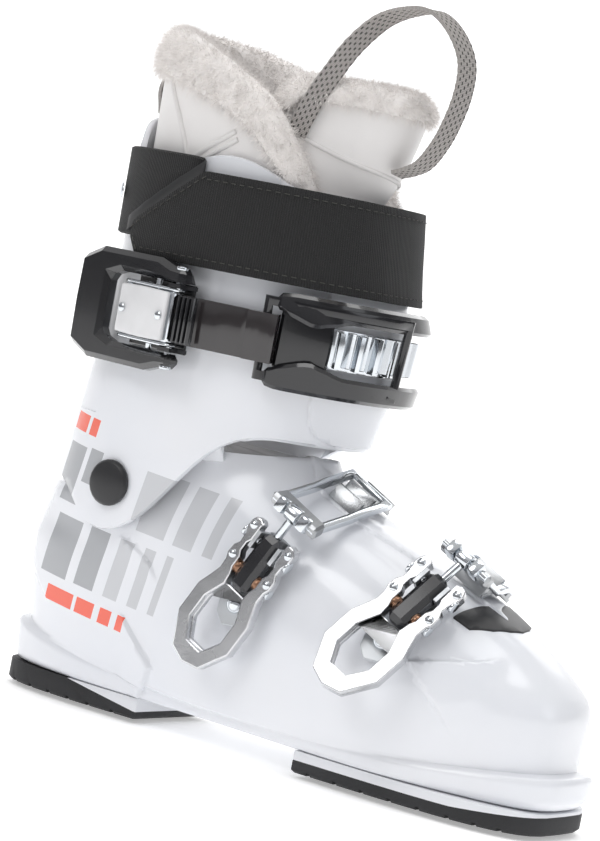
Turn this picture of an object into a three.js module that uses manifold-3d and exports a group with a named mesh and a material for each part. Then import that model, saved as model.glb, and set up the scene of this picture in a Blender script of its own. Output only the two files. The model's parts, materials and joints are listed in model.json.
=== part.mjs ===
// Alpine ski boot for the right foot, as an assembly of separate pieces.
// Millimetres. +X points to the toe, -Y to the buckle side, +Z up; the soles stand on Z = 0.

import * as THREE from 'three';
import { mergeVertices } from 'three/addons/utils/BufferGeometryUtils.js';
import Module from 'manifold-3d';

const wasm = await Module();
wasm.setup();

// ---------- driving dimensions ----------

const HEEL_X = -150; // back of the heel lug
const TOE_X = 147.5; // tip of the toe lug
const SHELL_WALL = 4.5;
const CUFF_WALL = 4;
const SOLE_THICKNESS = 9.7;
const SOLE_EDGE = 1.2; // bevel round the bottom of each sole
const SCREW_RADIUS = 3.4;
const SCREW_DEPTH = 3; // the screws' heads lie this far above the ground
const SHELL_FLOOR = 17; // top of the shell's bottom plate
const TOE_SWING = 3; // the toe box leans this far to the inner side of the foot
const FIT_GAP = 0.3; // between pieces that touch
const LINER_GAP = 0.9; // between the lower shell's inside and the liner
const CUFF_LINER_GAP = 1.7; // the same in the cuff, whose walls are wavier
const LINER_WALL = 9;
const BOARD_THICKNESS = 4;
const RING_POINTS = 48;
const LINER_POINTS = 28;

const PIVOT_X = -86; // cuff hinge
const PIVOT_Z = 104;
const PIVOT_CAP_RADIUS = 10.5;
const PIVOT_BUSH_RADIUS = 6;

const CUFF_BOTTOM_REAR = 101.5; // lower edge of the cuff: rear, below the pivots, front
const CUFF_BOTTOM_PIVOT = 82.5;
const CUFF_BOTTOM_FRONT = 138.5;
const CUFF_TOP_REAR = 240;
const CUFF_TOP_SIDE = 258;
const CUFF_TOP_FRONT = 240;

const STRAP_BOTTOM = 207;
const STRAP_TOP = 249;
const STRAP_THICKNESS = 2.6;

const LINER_TOP_REAR = 309;
const LINER_TOP_FRONT = 224;
const TONGUE_TOP = 298;
const TONGUE_FRONT = 12; // how far forward the tongue leans out at its top
const LOOP_TOP = 338;

// Level lines of the lower shell, from the bottom up. z: heel, waist, toe. x: back, front.
// width: half widths at the heel, waist, ball and toe stations. round: how square the ends are.
const SHELL_LEVELS = [
  { z: [10, 10, 10], x: [-147.5, 143.5], width: [31, 31, 41, 38], round: 3.6 },
  { z: [14, 12, 14.5], x: [-149.5, 147], width: [33.5, 32.5, 43.5, 40], round: 3.6 },
  { z: [29, 13.4, 23.5], x: [HEEL_X, TOE_X], width: [34, 33, 44, 40.5], round: 3.6 },
  { z: [30.6, 14.6, 25.2], x: [-148.8, 146.2], width: [33, 33.6, 43.4, 39.6], round: 3.6 },
  { z: [31.2, 15.6, 26], x: [-144, 140.4], width: [34, 36, 43.6, 37.5], round: 3.4 },
  { z: [37, 23, 31], x: [-144.2, 140.6], width: [36.5, 40, 47.5, 40.5], round: 3.3 },
  { z: [49, 37, 41], x: [-147, 141.6], width: [38.5, 42, 50.3, 42.5], round: 3.2 },
  { z: [62, 52, 50], x: [-149.6, 142], width: [40, 42.6, 51, 42.5], round: 3.2 },
  { z: [72, 63, 57], x: [-149.6, 139.5], width: [41, 42.8, 50, 41], round: 3.1 },
  { z: [79, 71, 64], x: [-148, 131.5], width: [41.5, 42.8, 48.3, 38.5], round: 2.9 },
  { z: [85.5, 78, 73], x: [-146.6, 119], width: [42, 42.8, 46, 35], round: 2.8 },
  { z: [90.5, 85, 82], x: [-145.2, 103.5], width: [42, 42.5, 43.5, 32], round: 2.8 },
  { z: [94, 91, 89.5], x: [-143.6, 87], width: [42, 42, 40.5, 30], round: 2.8 },
  { z: [96.3, 96.5, 96.5], x: [-142, 71], width: [42, 41, 37.5, 28], round: 2.7 },
  { z: [97.6, 102, 102.5], x: [-137, 56.5], width: [41.6, 39.8, 34, 26], round: 2.7 },
  { z: [98.6, 107, 108], x: [-131.5, 40], width: [41.2, 38.4, 31, 24], round: 2.6 },
  { z: [103, 112, 113.5], x: [-130.3, 24.5], width: [41, 37, 29, 22], round: 2.6 },
  { z: [108, 117, 119.5], x: [-128.6, 9], width: [40.5, 36.2, 28, 21], round: 2.5 },
  { z: [113, 122, 126], x: [-127.2, -0.5], width: [40, 35.8, 27, 20], round: 2.5 },
  { z: [118, 127, 133], x: [-126, -4.5], width: [39.5, 35.5, 26, 20], round: 2.5 },
];
const WIDTH_STATIONS = [-120, -35, 72, 128];
const HEEL_SHARE = 0.45; // share of a level line over which it settles from heel height

// Level sections of the cuff. x: back and front, width: half width.
const CUFF_SECTIONS = [
  { z: 78, x: [-144, 8], width: 47.6 },
  { z: 104, x: [-138.5, 6], width: 48.4 },
  { z: 137, x: [-134, 7], width: 49.6 },
  { z: 170, x: [-128.5, 13.5], width: 51.5 },
  { z: 192, x: [-126, 15.5], width: 52.2 },
  { z: 209, x: [-125, 9], width: 52.5 },
  { z: 262, x: [-126, 2], width: 51.5 },
];
const CUFF_ROUND = 2.45;

// ---------- general helpers ----------

const clamp01 = (value) => Math.min(1, Math.max(0, value));
const smooth = (value) => clamp01(value) ** 2 * (3 - 2 * clamp01(value));
const mix = (a, b, share) => a + (b - a) * share;

// Smooth curve through [place, value] pairs, level beyond both ends.
function follow(places, values, place) {
  const last = places.length - 1;
  if (place <= places[0]) return values[0];
  if (place >= places[last]) return values[last];
  let i = 0;
  while (place > places[i + 1]) i += 1;
  const slope = (k) => {
    if (k === 0 || k === last) return 0;
    return (values[k + 1] - values[k - 1]) / (places[k + 1] - places[k - 1]);
  };
  const span = places[i + 1] - places[i];
  const t = (place - places[i]) / span;
  const h1 = 2 * t ** 3 - 3 * t ** 2 + 1;
  const h2 = t ** 3 - 2 * t ** 2 + t;
  const h3 = 3 * t ** 2 - 2 * t ** 3;
  const h4 = t ** 3 - t ** 2;
  return h1 * values[i] + h2 * span * slope(i) + h3 * values[i + 1] + h4 * span * slope(i + 1);
}

function turnOutwards(vertices, faces) {
  let volume = 0;
  for (const [a, b, c] of faces) {
    const cross = new THREE.Vector3().crossVectors(vertices[b], vertices[c]);
    volume += vertices[a].dot(cross);
  }
  return volume >= 0 ? faces : faces.map(([a, b, c]) => [a, c, b]);
}

function meshFrom(vertices, faces) {
  const geometry = new THREE.BufferGeometry();
  geometry.setAttribute('position', new THREE.Float32BufferAttribute(
    vertices.flatMap((v) => [v.x, v.y, v.z]), 3));
  geometry.setIndex(turnOutwards(vertices, faces).flat());
  return geometry;
}

// Skin over rings of equal point count. Ends are capped, or joined when the rings make a loop.
function loft(rings, joinEnds = false) {
  const count = rings[0].length;
  const vertices = rings.flat();
  const faces = [];
  const spans = joinEnds ? rings.length : rings.length - 1;
  for (let r = 0; r < spans; r += 1) {
    const low = r * count;
    const high = ((r + 1) % rings.length) * count;
    for (let i = 0; i < count; i += 1) {
      const j = (i + 1) % count;
      faces.push([low + i, low + j, high + j], [low + i, high + j, high + i]);
    }
  }
  if (!joinEnds) {
    for (const [start, turn] of [[0, 1], [(rings.length - 1) * count, -1]]) {
      const centre = new THREE.Vector3();
      for (let i = 0; i < count; i += 1) centre.addScaledVector(vertices[start + i], 1 / count);
      vertices.push(centre);
      for (let i = 0; i < count; i += 1) {
        const pair = [start + i, start + ((i + 1) % count)];
        if (turn < 0) pair.reverse();
        faces.push([vertices.length - 1, pair[1], pair[0]]);
      }
    }
  }
  return meshFrom(vertices, faces);
}

function toSolid(geometry) {
  const bare = new THREE.BufferGeometry();
  bare.setAttribute('position', geometry.getAttribute('position'));
  if (geometry.index) bare.setIndex(geometry.index);
  const merged = mergeVertices(bare, 1e-4);
  return new wasm.Manifold(new wasm.Mesh({
    numProp: 3,
    vertProperties: new Float32Array(merged.getAttribute('position').array),
    triVerts: new Uint32Array(merged.index.array),
  }));
}

function fromSolid(solid) {
  const { vertProperties, triVerts } = solid.getMesh();
  const geometry = new THREE.BufferGeometry();
  geometry.setAttribute('position', new THREE.Float32BufferAttribute(vertProperties, 3));
  geometry.setIndex(new THREE.Uint32BufferAttribute(triVerts, 1));
  return geometry;
}

function join(...geometries) {
  return fromSolid(geometries.map(toSolid).reduce((whole, piece) => whole.add(piece)));
}

function cut(geometry, ...tools) {
  return fromSolid(tools.map(toSolid).reduce((whole, tool) => whole.subtract(tool), toSolid(geometry)));
}

// Local buckle axes: X across the strap line, Y into the boot, Z along the strap line.
// Sizes are given as [low, high] across, outwards and along.
function block(across, outwards, along) {
  const geometry = new THREE.BoxGeometry(
    across[1] - across[0], outwards[1] - outwards[0], along[1] - along[0]);
  geometry.translate((across[0] + across[1]) / 2, -(outwards[0] + outwards[1]) / 2, (along[0] + along[1]) / 2);
  return geometry;
}

function rodAcross(radius, across, outwards, along, sides = 12) {
  const geometry = new THREE.CylinderGeometry(radius, radius, across[1] - across[0], sides);
  geometry.rotateZ(-Math.PI / 2);
  geometry.translate((across[0] + across[1]) / 2, -outwards, along);
  return geometry;
}

function rodAlong(radius, along, outwards, sides = 12, turn = 0) {
  const geometry = new THREE.CylinderGeometry(radius, radius, along[1] - along[0], sides);
  geometry.rotateX(Math.PI / 2);
  geometry.rotateZ(turn);
  geometry.translate(0, -outwards, (along[0] + along[1]) / 2);
  return geometry;
}

// A flat plate from half an outline of [across, along] points, mirrored, with mirrored or middle holes.
function plate(half, outwards, holes = []) {
  const whole = (points) => [...points.map(([a, w]) => [-a, w]), ...points.slice().reverse()];
  const shape = new THREE.Shape(whole(half).map(([a, w]) => new THREE.Vector2(a, w)));
  for (const hole of holes) {
    shape.holes.push(new THREE.Path(whole(hole).map(([a, w]) => new THREE.Vector2(a, w))));
  }
  const bevel = Math.min(0.8, (outwards[1] - outwards[0]) / 4);
  const geometry = new THREE.ExtrudeGeometry(shape, {
    depth: outwards[1] - outwards[0] - 2 * bevel,
    bevelThickness: bevel,
    bevelSize: bevel,
    bevelOffset: -bevel,
    bevelSegments: 1,
  });
  geometry.rotateX(Math.PI / 2);
  geometry.translate(0, -outwards[0] - bevel, 0);
  return geometry;
}

const PAINT = {
  white: { color: 0xeef0f2, roughness: 0.28, metalness: 0 },
  black: { color: 0x1b1b1d, roughness: 0.35, metalness: 0 },
  rubber: { color: 0x161617, roughness: 0.75, metalness: 0 },
  steel: { color: 0xb9bdc2, roughness: 0.25, metalness: 1 },
  alloy: { color: 0xc9cbcc, roughness: 0.35, metalness: 1 },
  copper: { color: 0xb87550, roughness: 0.3, metalness: 1 },
  grey: { color: 0x9c9da0, roughness: 0.8, metalness: 0 },
  lining: { color: 0xe9e6e1, roughness: 0.9, metalness: 0 },
};

const boot = new THREE.Group();

function add(name, geometry, paint, frame = null) {
  const mesh = new THREE.Mesh(geometry, new THREE.MeshStandardMaterial(PAINT[paint]));
  mesh.name = name;
  if (frame) mesh.applyMatrix4(frame);
  boot.add(mesh);
}

// ---------- the lower shell's surface ----------

function levelHeight(level, share) {
  const heel = clamp01((HEEL_SHARE - share) / HEEL_SHARE) ** 2;
  const toe = clamp01((share - HEEL_SHARE) / (1 - HEEL_SHARE)) ** 2;
  return level.z[1] + (level.z[0] - level.z[1]) * heel + (level.z[2] - level.z[1]) * toe;
}

function levelHalfWidth(level, x, inset = 0) {
  const back = level.x[0] + inset;
  const front = level.x[1] - inset;
  const share = (x - back) / (front - back);
  if (share <= 0 || share >= 1) return 0;
  const ends = (1 - Math.abs(2 * share - 1) ** level.round) ** (1 / level.round);
  return (follow(WIDTH_STATIONS, level.width, x) - inset) * ends;
}

const swingAt = (x) => TOE_SWING * smooth((x + 40) / 180);

function levelRing(level, inset = 0, drop = 0, count = RING_POINTS) {
  const back = level.x[0] + inset;
  const front = level.x[1] - inset;
  const ring = [];
  for (let i = 0; i < count; i += 1) {
    const turn = (2 * Math.PI * i) / count;
    const share = (1 - Math.cos(turn)) / 2;
    const x = mix(back, front, share);
    const side = Math.sin(turn) > 0 ? -1 : 1;
    const y = i === 0 || i === count / 2 ? 0 : side * levelHalfWidth(level, x, inset);
    ring.push(new THREE.Vector3(x, y + swingAt(x), levelHeight(level, share) - drop));
  }
  return ring;
}

const innerFloor = (ring, floor) => ring.map((p) => new THREE.Vector3(p.x, p.y, Math.max(p.z, floor)));

// Half width of the lower shell's outside at a place; 0 above or in front of it.
function shellHalfWidth(x, z) {
  for (let i = 1; i < SHELL_LEVELS.length; i += 1) {
    const [low, high] = [SHELL_LEVELS[i - 1], SHELL_LEVELS[i]].map((level) => {
      const share = clamp01((x - level.x[0]) / (level.x[1] - level.x[0]));
      return { z: levelHeight(level, share), width: levelHalfWidth(level, x) };
    });
    if (z >= low.z && z <= high.z) {
      return mix(low.width, high.width, (z - low.z) / Math.max(high.z - low.z, 1e-6));
    }
  }
  return 0;
}

function lowerShell() {
  const rings = SHELL_LEVELS.map((level) => levelRing(level));
  const inside = SHELL_LEVELS.slice(5).reverse();
  for (const level of inside) {
    rings.push(innerFloor(levelRing(level, SHELL_WALL, level === inside[0] ? 0 : 3.4), SHELL_FLOOR));
  }
  rings.push(levelRing(SHELL_LEVELS[5], SHELL_WALL + 3).map((p) => new THREE.Vector3(p.x, p.y, SHELL_FLOOR)));
  return loft(rings);
}

// A closed lining body that follows the shell's inside and is hollow for the foot.
function footLiner() {
  const out = SHELL_WALL + LINER_GAP;
  const base = SHELL_FLOOR + BOARD_THICKNESS + 2 * FIT_GAP;
  const levels = SHELL_LEVELS.slice(6, 19);
  const rings = levels.map((level, i) => innerFloor(
    levelRing(level, out, 4.6, LINER_POINTS), base + i * 0.4));
  rings.unshift(levelRing(levels[0], out + 5, 0, LINER_POINTS)
    .map((p) => new THREE.Vector3(p.x, p.y, base)));
  const hollow = levels.slice(1).reverse().map((level, i) => innerFloor(
    levelRing(level, out + LINER_WALL, i ? 9 : 4.6, LINER_POINTS), base + 7 - i * 0.02));
  hollow.push(levelRing(levels[1], out + LINER_WALL + 5, 0, LINER_POINTS)
    .map((p) => new THREE.Vector3(p.x, p.y, base + 6.5)));
  return loft([...rings, ...hollow]);
}

function bootBoard() {
  const low = levelRing(SHELL_LEVELS[5], SHELL_WALL + 4, 0, LINER_POINTS);
  const flat = (z) => low.map((p) => new THREE.Vector3(p.x, p.y, z));
  return loft([flat(SHELL_FLOOR + FIT_GAP), flat(SHELL_FLOOR + FIT_GAP + BOARD_THICKNESS - FIT_GAP)]);
}

// Half-oval sole with a straight inner edge at cutX; tipX is its far end.
function sole(cutX, tipX, halfWidths, round, swing) {
  const outline = (inset, z) => {
    const ring = [];
    const steps = 22;
    for (let i = 0; i <= steps; i += 1) {
      const turn = mix(-Math.PI / 2, Math.PI / 2, i / steps);
      const reach = Math.cos(turn) ** (2 / round);
      const wide = Math.sign(turn) * Math.abs(Math.sin(turn)) ** (2 / round);
      const half = mix(halfWidths[0], halfWidths[1], reach) - inset;
      const x = mix(cutX + Math.sign(tipX - cutX) * inset, tipX - Math.sign(tipX - cutX) * inset, reach);
      ring.push(new THREE.Vector3(x, wide * half + swing, z));
    }
    return ring;
  };
  return loft([outline(SOLE_EDGE, 0), outline(0, SOLE_EDGE), outline(0, SOLE_THICKNESS)]);
}

function upright(radius, low, high, [x, y]) {
  const geometry = new THREE.CylinderGeometry(radius, radius, high - low, 16);
  geometry.rotateX(Math.PI / 2);
  geometry.translate(x, y, (low + high) / 2);
  return geometry;
}

// A sole with a counterbored hole for each of its screws, and the screws.
function addSole(name, body, places) {
  const holes = places.map((place) => upright(SCREW_RADIUS + FIT_GAP, -1, SOLE_THICKNESS + 1, place));
  add(`${name}_sole`, cut(body, ...holes), 'rubber');
  places.forEach((place, i) => {
    add(`${name}_screw_${i + 1}`, upright(SCREW_RADIUS, SCREW_DEPTH, SOLE_THICKNESS, place), 'steel');
  });
}

// Glossy insert let in over the toes: a curved shield lying on the toe box.
function toeInsert(shell) {
  const rows = [];
  const lengthwise = [88, 90, 92, 94, 96, 98, 100, 102, 104.5, 107];
  const crosswise = 12;
  const point = (x, share, lift) => {
    const fan = 26 - 9 * smooth((x - 86) / 34);
    const y = swingAt(x) + mix(-fan, fan * 0.8, share);
    return new THREE.Vector3(x, y, shellTop(x, y) + lift);
  };
  for (const x of lengthwise) {
    const ring = [];
    for (let i = 0; i <= crosswise; i += 1) ring.push(point(x, i / crosswise, 2.6));
    for (let i = crosswise; i >= 0; i -= 1) ring.push(point(x, i / crosswise, -1));
    rows.push(ring);
  }
  const shellWithGap = placed(shell, new THREE.Matrix4().makeTranslation(0, 0, FIT_GAP));
  return cut(loft(rows), shellWithGap);
}

// Height of the shell's outside above a place on its plan.
function shellTop(x, y) {
  let low = SHELL_FLOOR;
  let high = SHELL_LEVELS.at(-1).z[2];
  const offset = Math.abs(y - swingAt(x));
  for (let i = 0; i < 40; i += 1) {
    const middle = (low + high) / 2;
    const half = shellHalfWidth(x, middle);
    const bulging = middle < 50;
    if (bulging || (half > 0 && half > offset)) low = middle;
    else high = middle;
  }
  return low;
}

// ---------- the cuff's surface ----------

function cuffPoint(z, turn, inset = 0) {
  const places = CUFF_SECTIONS.map((section) => section.z);
  const back = follow(places, CUFF_SECTIONS.map((section) => section.x[0]), z) + inset;
  const front = follow(places, CUFF_SECTIONS.map((section) => section.x[1]), z) - inset;
  const half = follow(places, CUFF_SECTIONS.map((section) => section.width), z) - inset;
  const power = 2 / CUFF_ROUND;
  const c = Math.cos(turn);
  const s = Math.sin(turn);
  const x = (back + front) / 2 - (Math.sign(c) * Math.abs(c) ** power * (front - back)) / 2;
  return new THREE.Vector3(x, -Math.sign(s) * Math.abs(s) ** power * half, z);
}

// Lower and upper edge of the cuff above or below a place along the boot.
function cuffBottom(x) {
  const places = [-128, PIVOT_X - 21, PIVOT_X - 8, PIVOT_X + 8, PIVOT_X + 24, PIVOT_X + 39, PIVOT_X + 54, PIVOT_X + 76];
  const lobe = CUFF_BOTTOM_PIVOT;
  const rise = CUFF_BOTTOM_FRONT - lobe;
  const heights = [CUFF_BOTTOM_REAR, lobe + 12, lobe + 1.5, lobe, lobe + 0.2 * rise, lobe + 0.6 * rise,
    lobe + 0.88 * rise, CUFF_BOTTOM_FRONT];
  return follow(places, heights, x);
}

function cuffTop(x) {
  const places = [-118, -84, -60, -38, 10];
  return follow(places, [CUFF_TOP_REAR, 249, CUFF_TOP_SIDE, CUFF_TOP_SIDE - 2, CUFF_TOP_FRONT], x);
}

function cuffRing(share, inset, count = RING_POINTS) {
  const ring = [];
  for (let i = 0; i < count; i += 1) {
    const turn = (2 * Math.PI * i) / count;
    const x = cuffPoint(PIVOT_Z + 30, turn, inset).x;
    const z = mix(cuffBottom(x), cuffTop(x), share);
    ring.push(cuffPoint(z, turn, inset));
  }
  return ring;
}

function cuff() {
  const rise = [0, 0.1, 0.22, 0.36, 0.52, 0.68, 0.84, 1];
  const outside = rise.map((share) => cuffRing(share, 0));
  const inside = [1, 0.75, 0.5, 0.25, 0].map((share) => cuffRing(share, CUFF_WALL));
  const shell = loft([...outside, ...inside], true);
  const bore = new THREE.CylinderGeometry(PIVOT_BUSH_RADIUS + FIT_GAP, PIVOT_BUSH_RADIUS + FIT_GAP, 200, 24);
  bore.translate(PIVOT_X, 0, PIVOT_Z);
  return cut(shell, bore);
}

// A band that follows the cuff between two turns, with its own lower and upper edge.
function cuffBand({ from, to, steps, lift, thickness, low, high, endSlope = 0 }) {
  const rings = [];
  for (let i = 0; i <= steps; i += 1) {
    const share = i / steps;
    const turn = mix(from, to, share);
    const slope = endSlope * (1 - share);
    rings.push([
      cuffPoint(low(turn), turn + slope, -lift),
      cuffPoint(high(turn), turn, -lift),
      cuffPoint(high(turn), turn, -lift - thickness),
      cuffPoint(low(turn), turn + slope, -lift - thickness),
    ]);
  }
  return loft(rings);
}

// Booster strap: one band riveted round the back, one over the front that closes on it.
function addStrap() {
  const turnTo = (x) => turnAt(STRAP_TOP - 20, x);
  const level = (z) => () => z;
  add('strap_anchor', cuffBand({
    from: -turnTo(-62), to: turnTo(-62), steps: 20, lift: 0.9, thickness: STRAP_THICKNESS,
    low: level(STRAP_BOTTOM + 8), high: level(STRAP_TOP + 6),
  }), 'black');
  const lift = 0.9 + STRAP_THICKNESS + 0.9;
  add('power_strap', cuffBand({
    from: turnTo(-74), to: 2 * Math.PI - turnTo(-84), steps: 30, lift, thickness: STRAP_THICKNESS,
    low: level(STRAP_BOTTOM), high: level(STRAP_TOP), endSlope: -0.16,
  }), 'black');
  for (const [side, word] of [[1, 'outer'], [-1, 'inner']]) {
    const turn = side * turnTo(-113);
    const z = (STRAP_BOTTOM + STRAP_TOP) / 2 + 6;
    const along = cuffPoint(z, turn + side * 0.05).sub(cuffPoint(z, turn - side * 0.05)).normalize();
    const across = new THREE.Vector3(0, 0, -side);
    const inward = new THREE.Vector3().crossVectors(along, across);
    const frame = new THREE.Matrix4().makeBasis(across, inward, along).setPosition(cuffPoint(z, turn));
    const head = lift + FIT_GAP;
    add(`strap_rivet_${word}`, turnedOut([[0, head], [4, head], [3.6, head + 0.7], [0, head + 1.2]], 0),
      'steel', frame);
  }
}

// ---------- upper liner, tongue and soft pieces ----------

function cuffLiner() {
  const out = CUFF_WALL + CUFF_LINER_GAP;
  const top = (x) => follow([-112, -75, -39, -20, -12, -5], [LINER_TOP_REAR, LINER_TOP_REAR - 9,
    LINER_TOP_REAR - 25, LINER_TOP_REAR - 48, LINER_TOP_FRONT + 22, LINER_TOP_FRONT], x);
  const bottom = (x) => mix(124, 148, smooth((x + 100) / 90));
  const ring = (share, inset) => {
    const points = [];
    for (let i = 0; i < LINER_POINTS; i += 1) {
      const turn = (2 * Math.PI * i) / LINER_POINTS;
      const x = cuffPoint(200, turn, inset).x;
      points.push(cuffPoint(mix(bottom(x), top(x), share), turn, inset));
    }
    return points;
  };
  const wall = LINER_WALL;
  return loft([
    ring(0, out), ring(0.3, out), ring(0.6, out), ring(0.85, out - 0.6), ring(0.96, out - 1.5), ring(1, out + 3),
    ring(0.99, out + wall - 2), ring(0.93, out + wall), ring(0.6, out + wall), ring(0.3, out + wall), ring(0, out + wall),
  ], true);
}

// Spoiler plate behind the calf, outside the liner and above the cuff's rear edge.
function spoiler() {
  const rings = [];
  const steps = 12;
  for (let i = 0; i <= steps; i += 1) {
    const share = (2 * i) / steps - 1;
    const turn = share * 0.62;
    const top = 271 - 21 * Math.abs(share) ** 3;
    const low = CUFF_TOP_REAR + 1;
    rings.push([
      cuffPoint(low, turn, 0.2), cuffPoint(mix(low, top, 0.6), turn, -0.6), cuffPoint(top, turn, 0.4),
      cuffPoint(top, turn, 3), cuffPoint(mix(low, top, 0.5), turn, 2.6), cuffPoint(low, turn, 3.4),
    ]);
  }
  return loft(rings);
}

// The tongue stands inside the liner's front, leans out over the strap and is crowned across the shin.
function tongue() {
  const inner = CUFF_WALL + CUFF_LINER_GAP + LINER_WALL + 2.4;
  const thickness = 12;
  const stations = [152, 180, 206, 226, 240, 251, 262, 276, 289, TONGUE_TOP];
  const halfTurn = [0.6, 0.7, 0.85, 0.95, 1, 1.1, 1.2, 1.3, 1.3, 1.1];
  const lean = [0, 0, 0, 0, 0.22, 0.58, 0.8, 0.92, 1, 0.98]; // share of the full lean
  const spread = [1, 1, 1, 1, 0.3, 0.42, 0.6, 0.85, 1.1, 1.2]; // half turn over which the lean fades
  const fullLean = TONGUE_FRONT - cuffPoint(262, Math.PI, inner).x;
  const crosswise = 12;
  const rings = stations.map((z, row) => {
    const squeeze = row === stations.length - 1 ? 3 : 0;
    const point = (share, inset) => {
      const turn = mix(-halfTurn[row], halfTurn[row], share);
      const forward = fullLean * lean[row] * smooth(1 - Math.abs(turn) / spread[row]);
      return cuffPoint(Math.min(z, 262), Math.PI + turn, inset).setZ(z).add(new THREE.Vector3(forward, 0, 0));
    };
    const shares = Array.from({ length: crosswise + 1 }, (_, i) => i / crosswise);
    return [
      ...shares.map((share) => point(share, inner + squeeze)),
      ...shares.reverse().map((share) => point(share, inner + thickness - squeeze)),
    ];
  });
  return loft(rings);
}

// A flat ribbon swept along a curve; across is its width direction.
function ribbon(curve, steps, width, thickness, across) {
  const rings = [];
  for (let i = 0; i <= steps; i += 1) {
    const point = curve.getPointAt(i / steps);
    const tangent = curve.getTangentAt(i / steps);
    const wide = typeof across === 'function' ? across(i / steps) : across;
    const side = wide.clone().addScaledVector(tangent, -wide.dot(tangent)).normalize();
    const face = new THREE.Vector3().crossVectors(tangent, side);
    rings.push([[-1, -1], [1, -1], [1, 1], [-1, 1]].map(([a, b]) => point.clone()
      .addScaledVector(side, (a * width) / 2).addScaledVector(face, (b * thickness) / 2)));
  }
  return loft(rings);
}

// Finger loop for pulling the boot on. Both ends are sewn to the tongue: one beside it, one at its front.
function pullLoop() {
  const front = TONGUE_FRONT - 0.7;
  const foot = 263;
  const rise = (LOOP_TOP - foot) / 75;
  const route = [
    [-45.2, 9.6, 24.9], [-42.4, 17.1, 25.3], [-38.4, 27, 25.2], [-34, 38.8, 22.2], [-30, 52.9, 15],
    [-22.9, 65.2, 7.8], [-12.7, 71.7, 2.8], [-0.8, 73.2, 0.3], [10.7, 66.1, 0], [19.2, 53.9, 0],
    [20.4, 39.5, 0], [17.1, 24.4, 0], [12.7, 14, 0], [7.4, 6.4, 0], [1, 2.6, 0], [-5.2, 0.4, 0],
  ].map(([ahead, up, aside]) => new THREE.Vector3(front + ahead, -7 - aside, foot + up * rise));
  const beside = new THREE.Vector3(0.93, 0.36, 0);
  const across = new THREE.Vector3(0.4, 0.9, 0);
  return ribbon(new THREE.CatmullRomCurve3(route), 32, 9, 1.8,
    (share) => beside.clone().lerp(across, Math.min(1, share / 0.35)));
}

function rearPullTab() {
  const back = cuffPoint(262, 0, 0).x;
  const route = [[back + 2, 272.5], [back + 1, 276], [back - 0.4, 281], [back + 0.6, 286], [back + 1.9, 289.5]]
    .map(([x, z]) => new THREE.Vector3(x, -4, z));
  return ribbon(new THREE.CatmullRomCurve3(route), 8, 16, 1.6, new THREE.Vector3(0, 1, 0));
}

// ---------- pivots ----------

// How far a round spot on the hinge axis reaches out to, over the cuff.
function cuffReach(radius) {
  const reaches = [];
  for (const [dx, dz] of [[0, 0], [1, 0], [-1, 0], [0, 1], [0, -1]]) {
    const z = PIVOT_Z + dz * radius;
    reaches.push(-cuffPoint(z, turnAt(z, PIVOT_X + dx * radius)).y);
  }
  return Math.max(...reaches);
}

function pivotCap(side) {
  const seat = cuffReach(PIVOT_CAP_RADIUS) + FIT_GAP;
  const profile = [[0, seat], [PIVOT_CAP_RADIUS, seat], [PIVOT_CAP_RADIUS, seat + 1.4],
    [PIVOT_CAP_RADIUS - 1.2, seat + 2.6], [PIVOT_CAP_RADIUS * 0.5, seat + 3.4], [0, seat + 3.6]];
  return turned(profile, 24, side);
}

function pivotBush(side) {
  const inner = Math.max(...[-1, 0, 1].map((step) => shellHalfWidth(
    PIVOT_X, PIVOT_Z + step * PIVOT_BUSH_RADIUS))) + 2 * FIT_GAP;
  const outer = cuffReach(PIVOT_CAP_RADIUS) - FIT_GAP;
  return turned([[0, inner], [PIVOT_BUSH_RADIUS, inner], [PIVOT_BUSH_RADIUS, outer], [0, outer]], 24, side);
}

// A turned piece on the cuff's hinge axis; profile is [radius, distance from the middle plane].
function turned(profile, sides, side) {
  const geometry = new THREE.LatheGeometry(profile.map(([r, h]) => new THREE.Vector2(r, h)), sides);
  if (side < 0) geometry.rotateX(Math.PI);
  geometry.translate(PIVOT_X, 0, PIVOT_Z);
  return outward(geometry);
}

function outward(geometry) {
  const merged = mergeVertices(bareCopy(geometry), 1e-4);
  const position = merged.getAttribute('position');
  const vertices = [];
  for (let i = 0; i < position.count; i += 1) vertices.push(new THREE.Vector3().fromBufferAttribute(position, i));
  const faces = [];
  for (let i = 0; i < merged.index.count; i += 3) {
    const face = [0, 1, 2].map((k) => merged.index.getX(i + k));
    if (new Set(face).size === 3) faces.push(face);
  }
  return meshFrom(vertices, faces);
}

function bareCopy(geometry) {
  const bare = new THREE.BufferGeometry();
  bare.setAttribute('position', geometry.getAttribute('position').clone());
  if (geometry.index) bare.setIndex(geometry.index.clone());
  return bare;
}

// The turn round the cuff, on the buckle side, at which its outside passes a place.
function turnAt(z, x) {
  let low = 0;
  let high = Math.PI;
  for (let i = 0; i < 40; i += 1) {
    const middle = (low + high) / 2;
    if (cuffPoint(z, middle).x < x) low = middle;
    else high = middle;
  }
  return (low + high) / 2;
}

// ---------- strap lines that the buckles follow ----------

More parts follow.
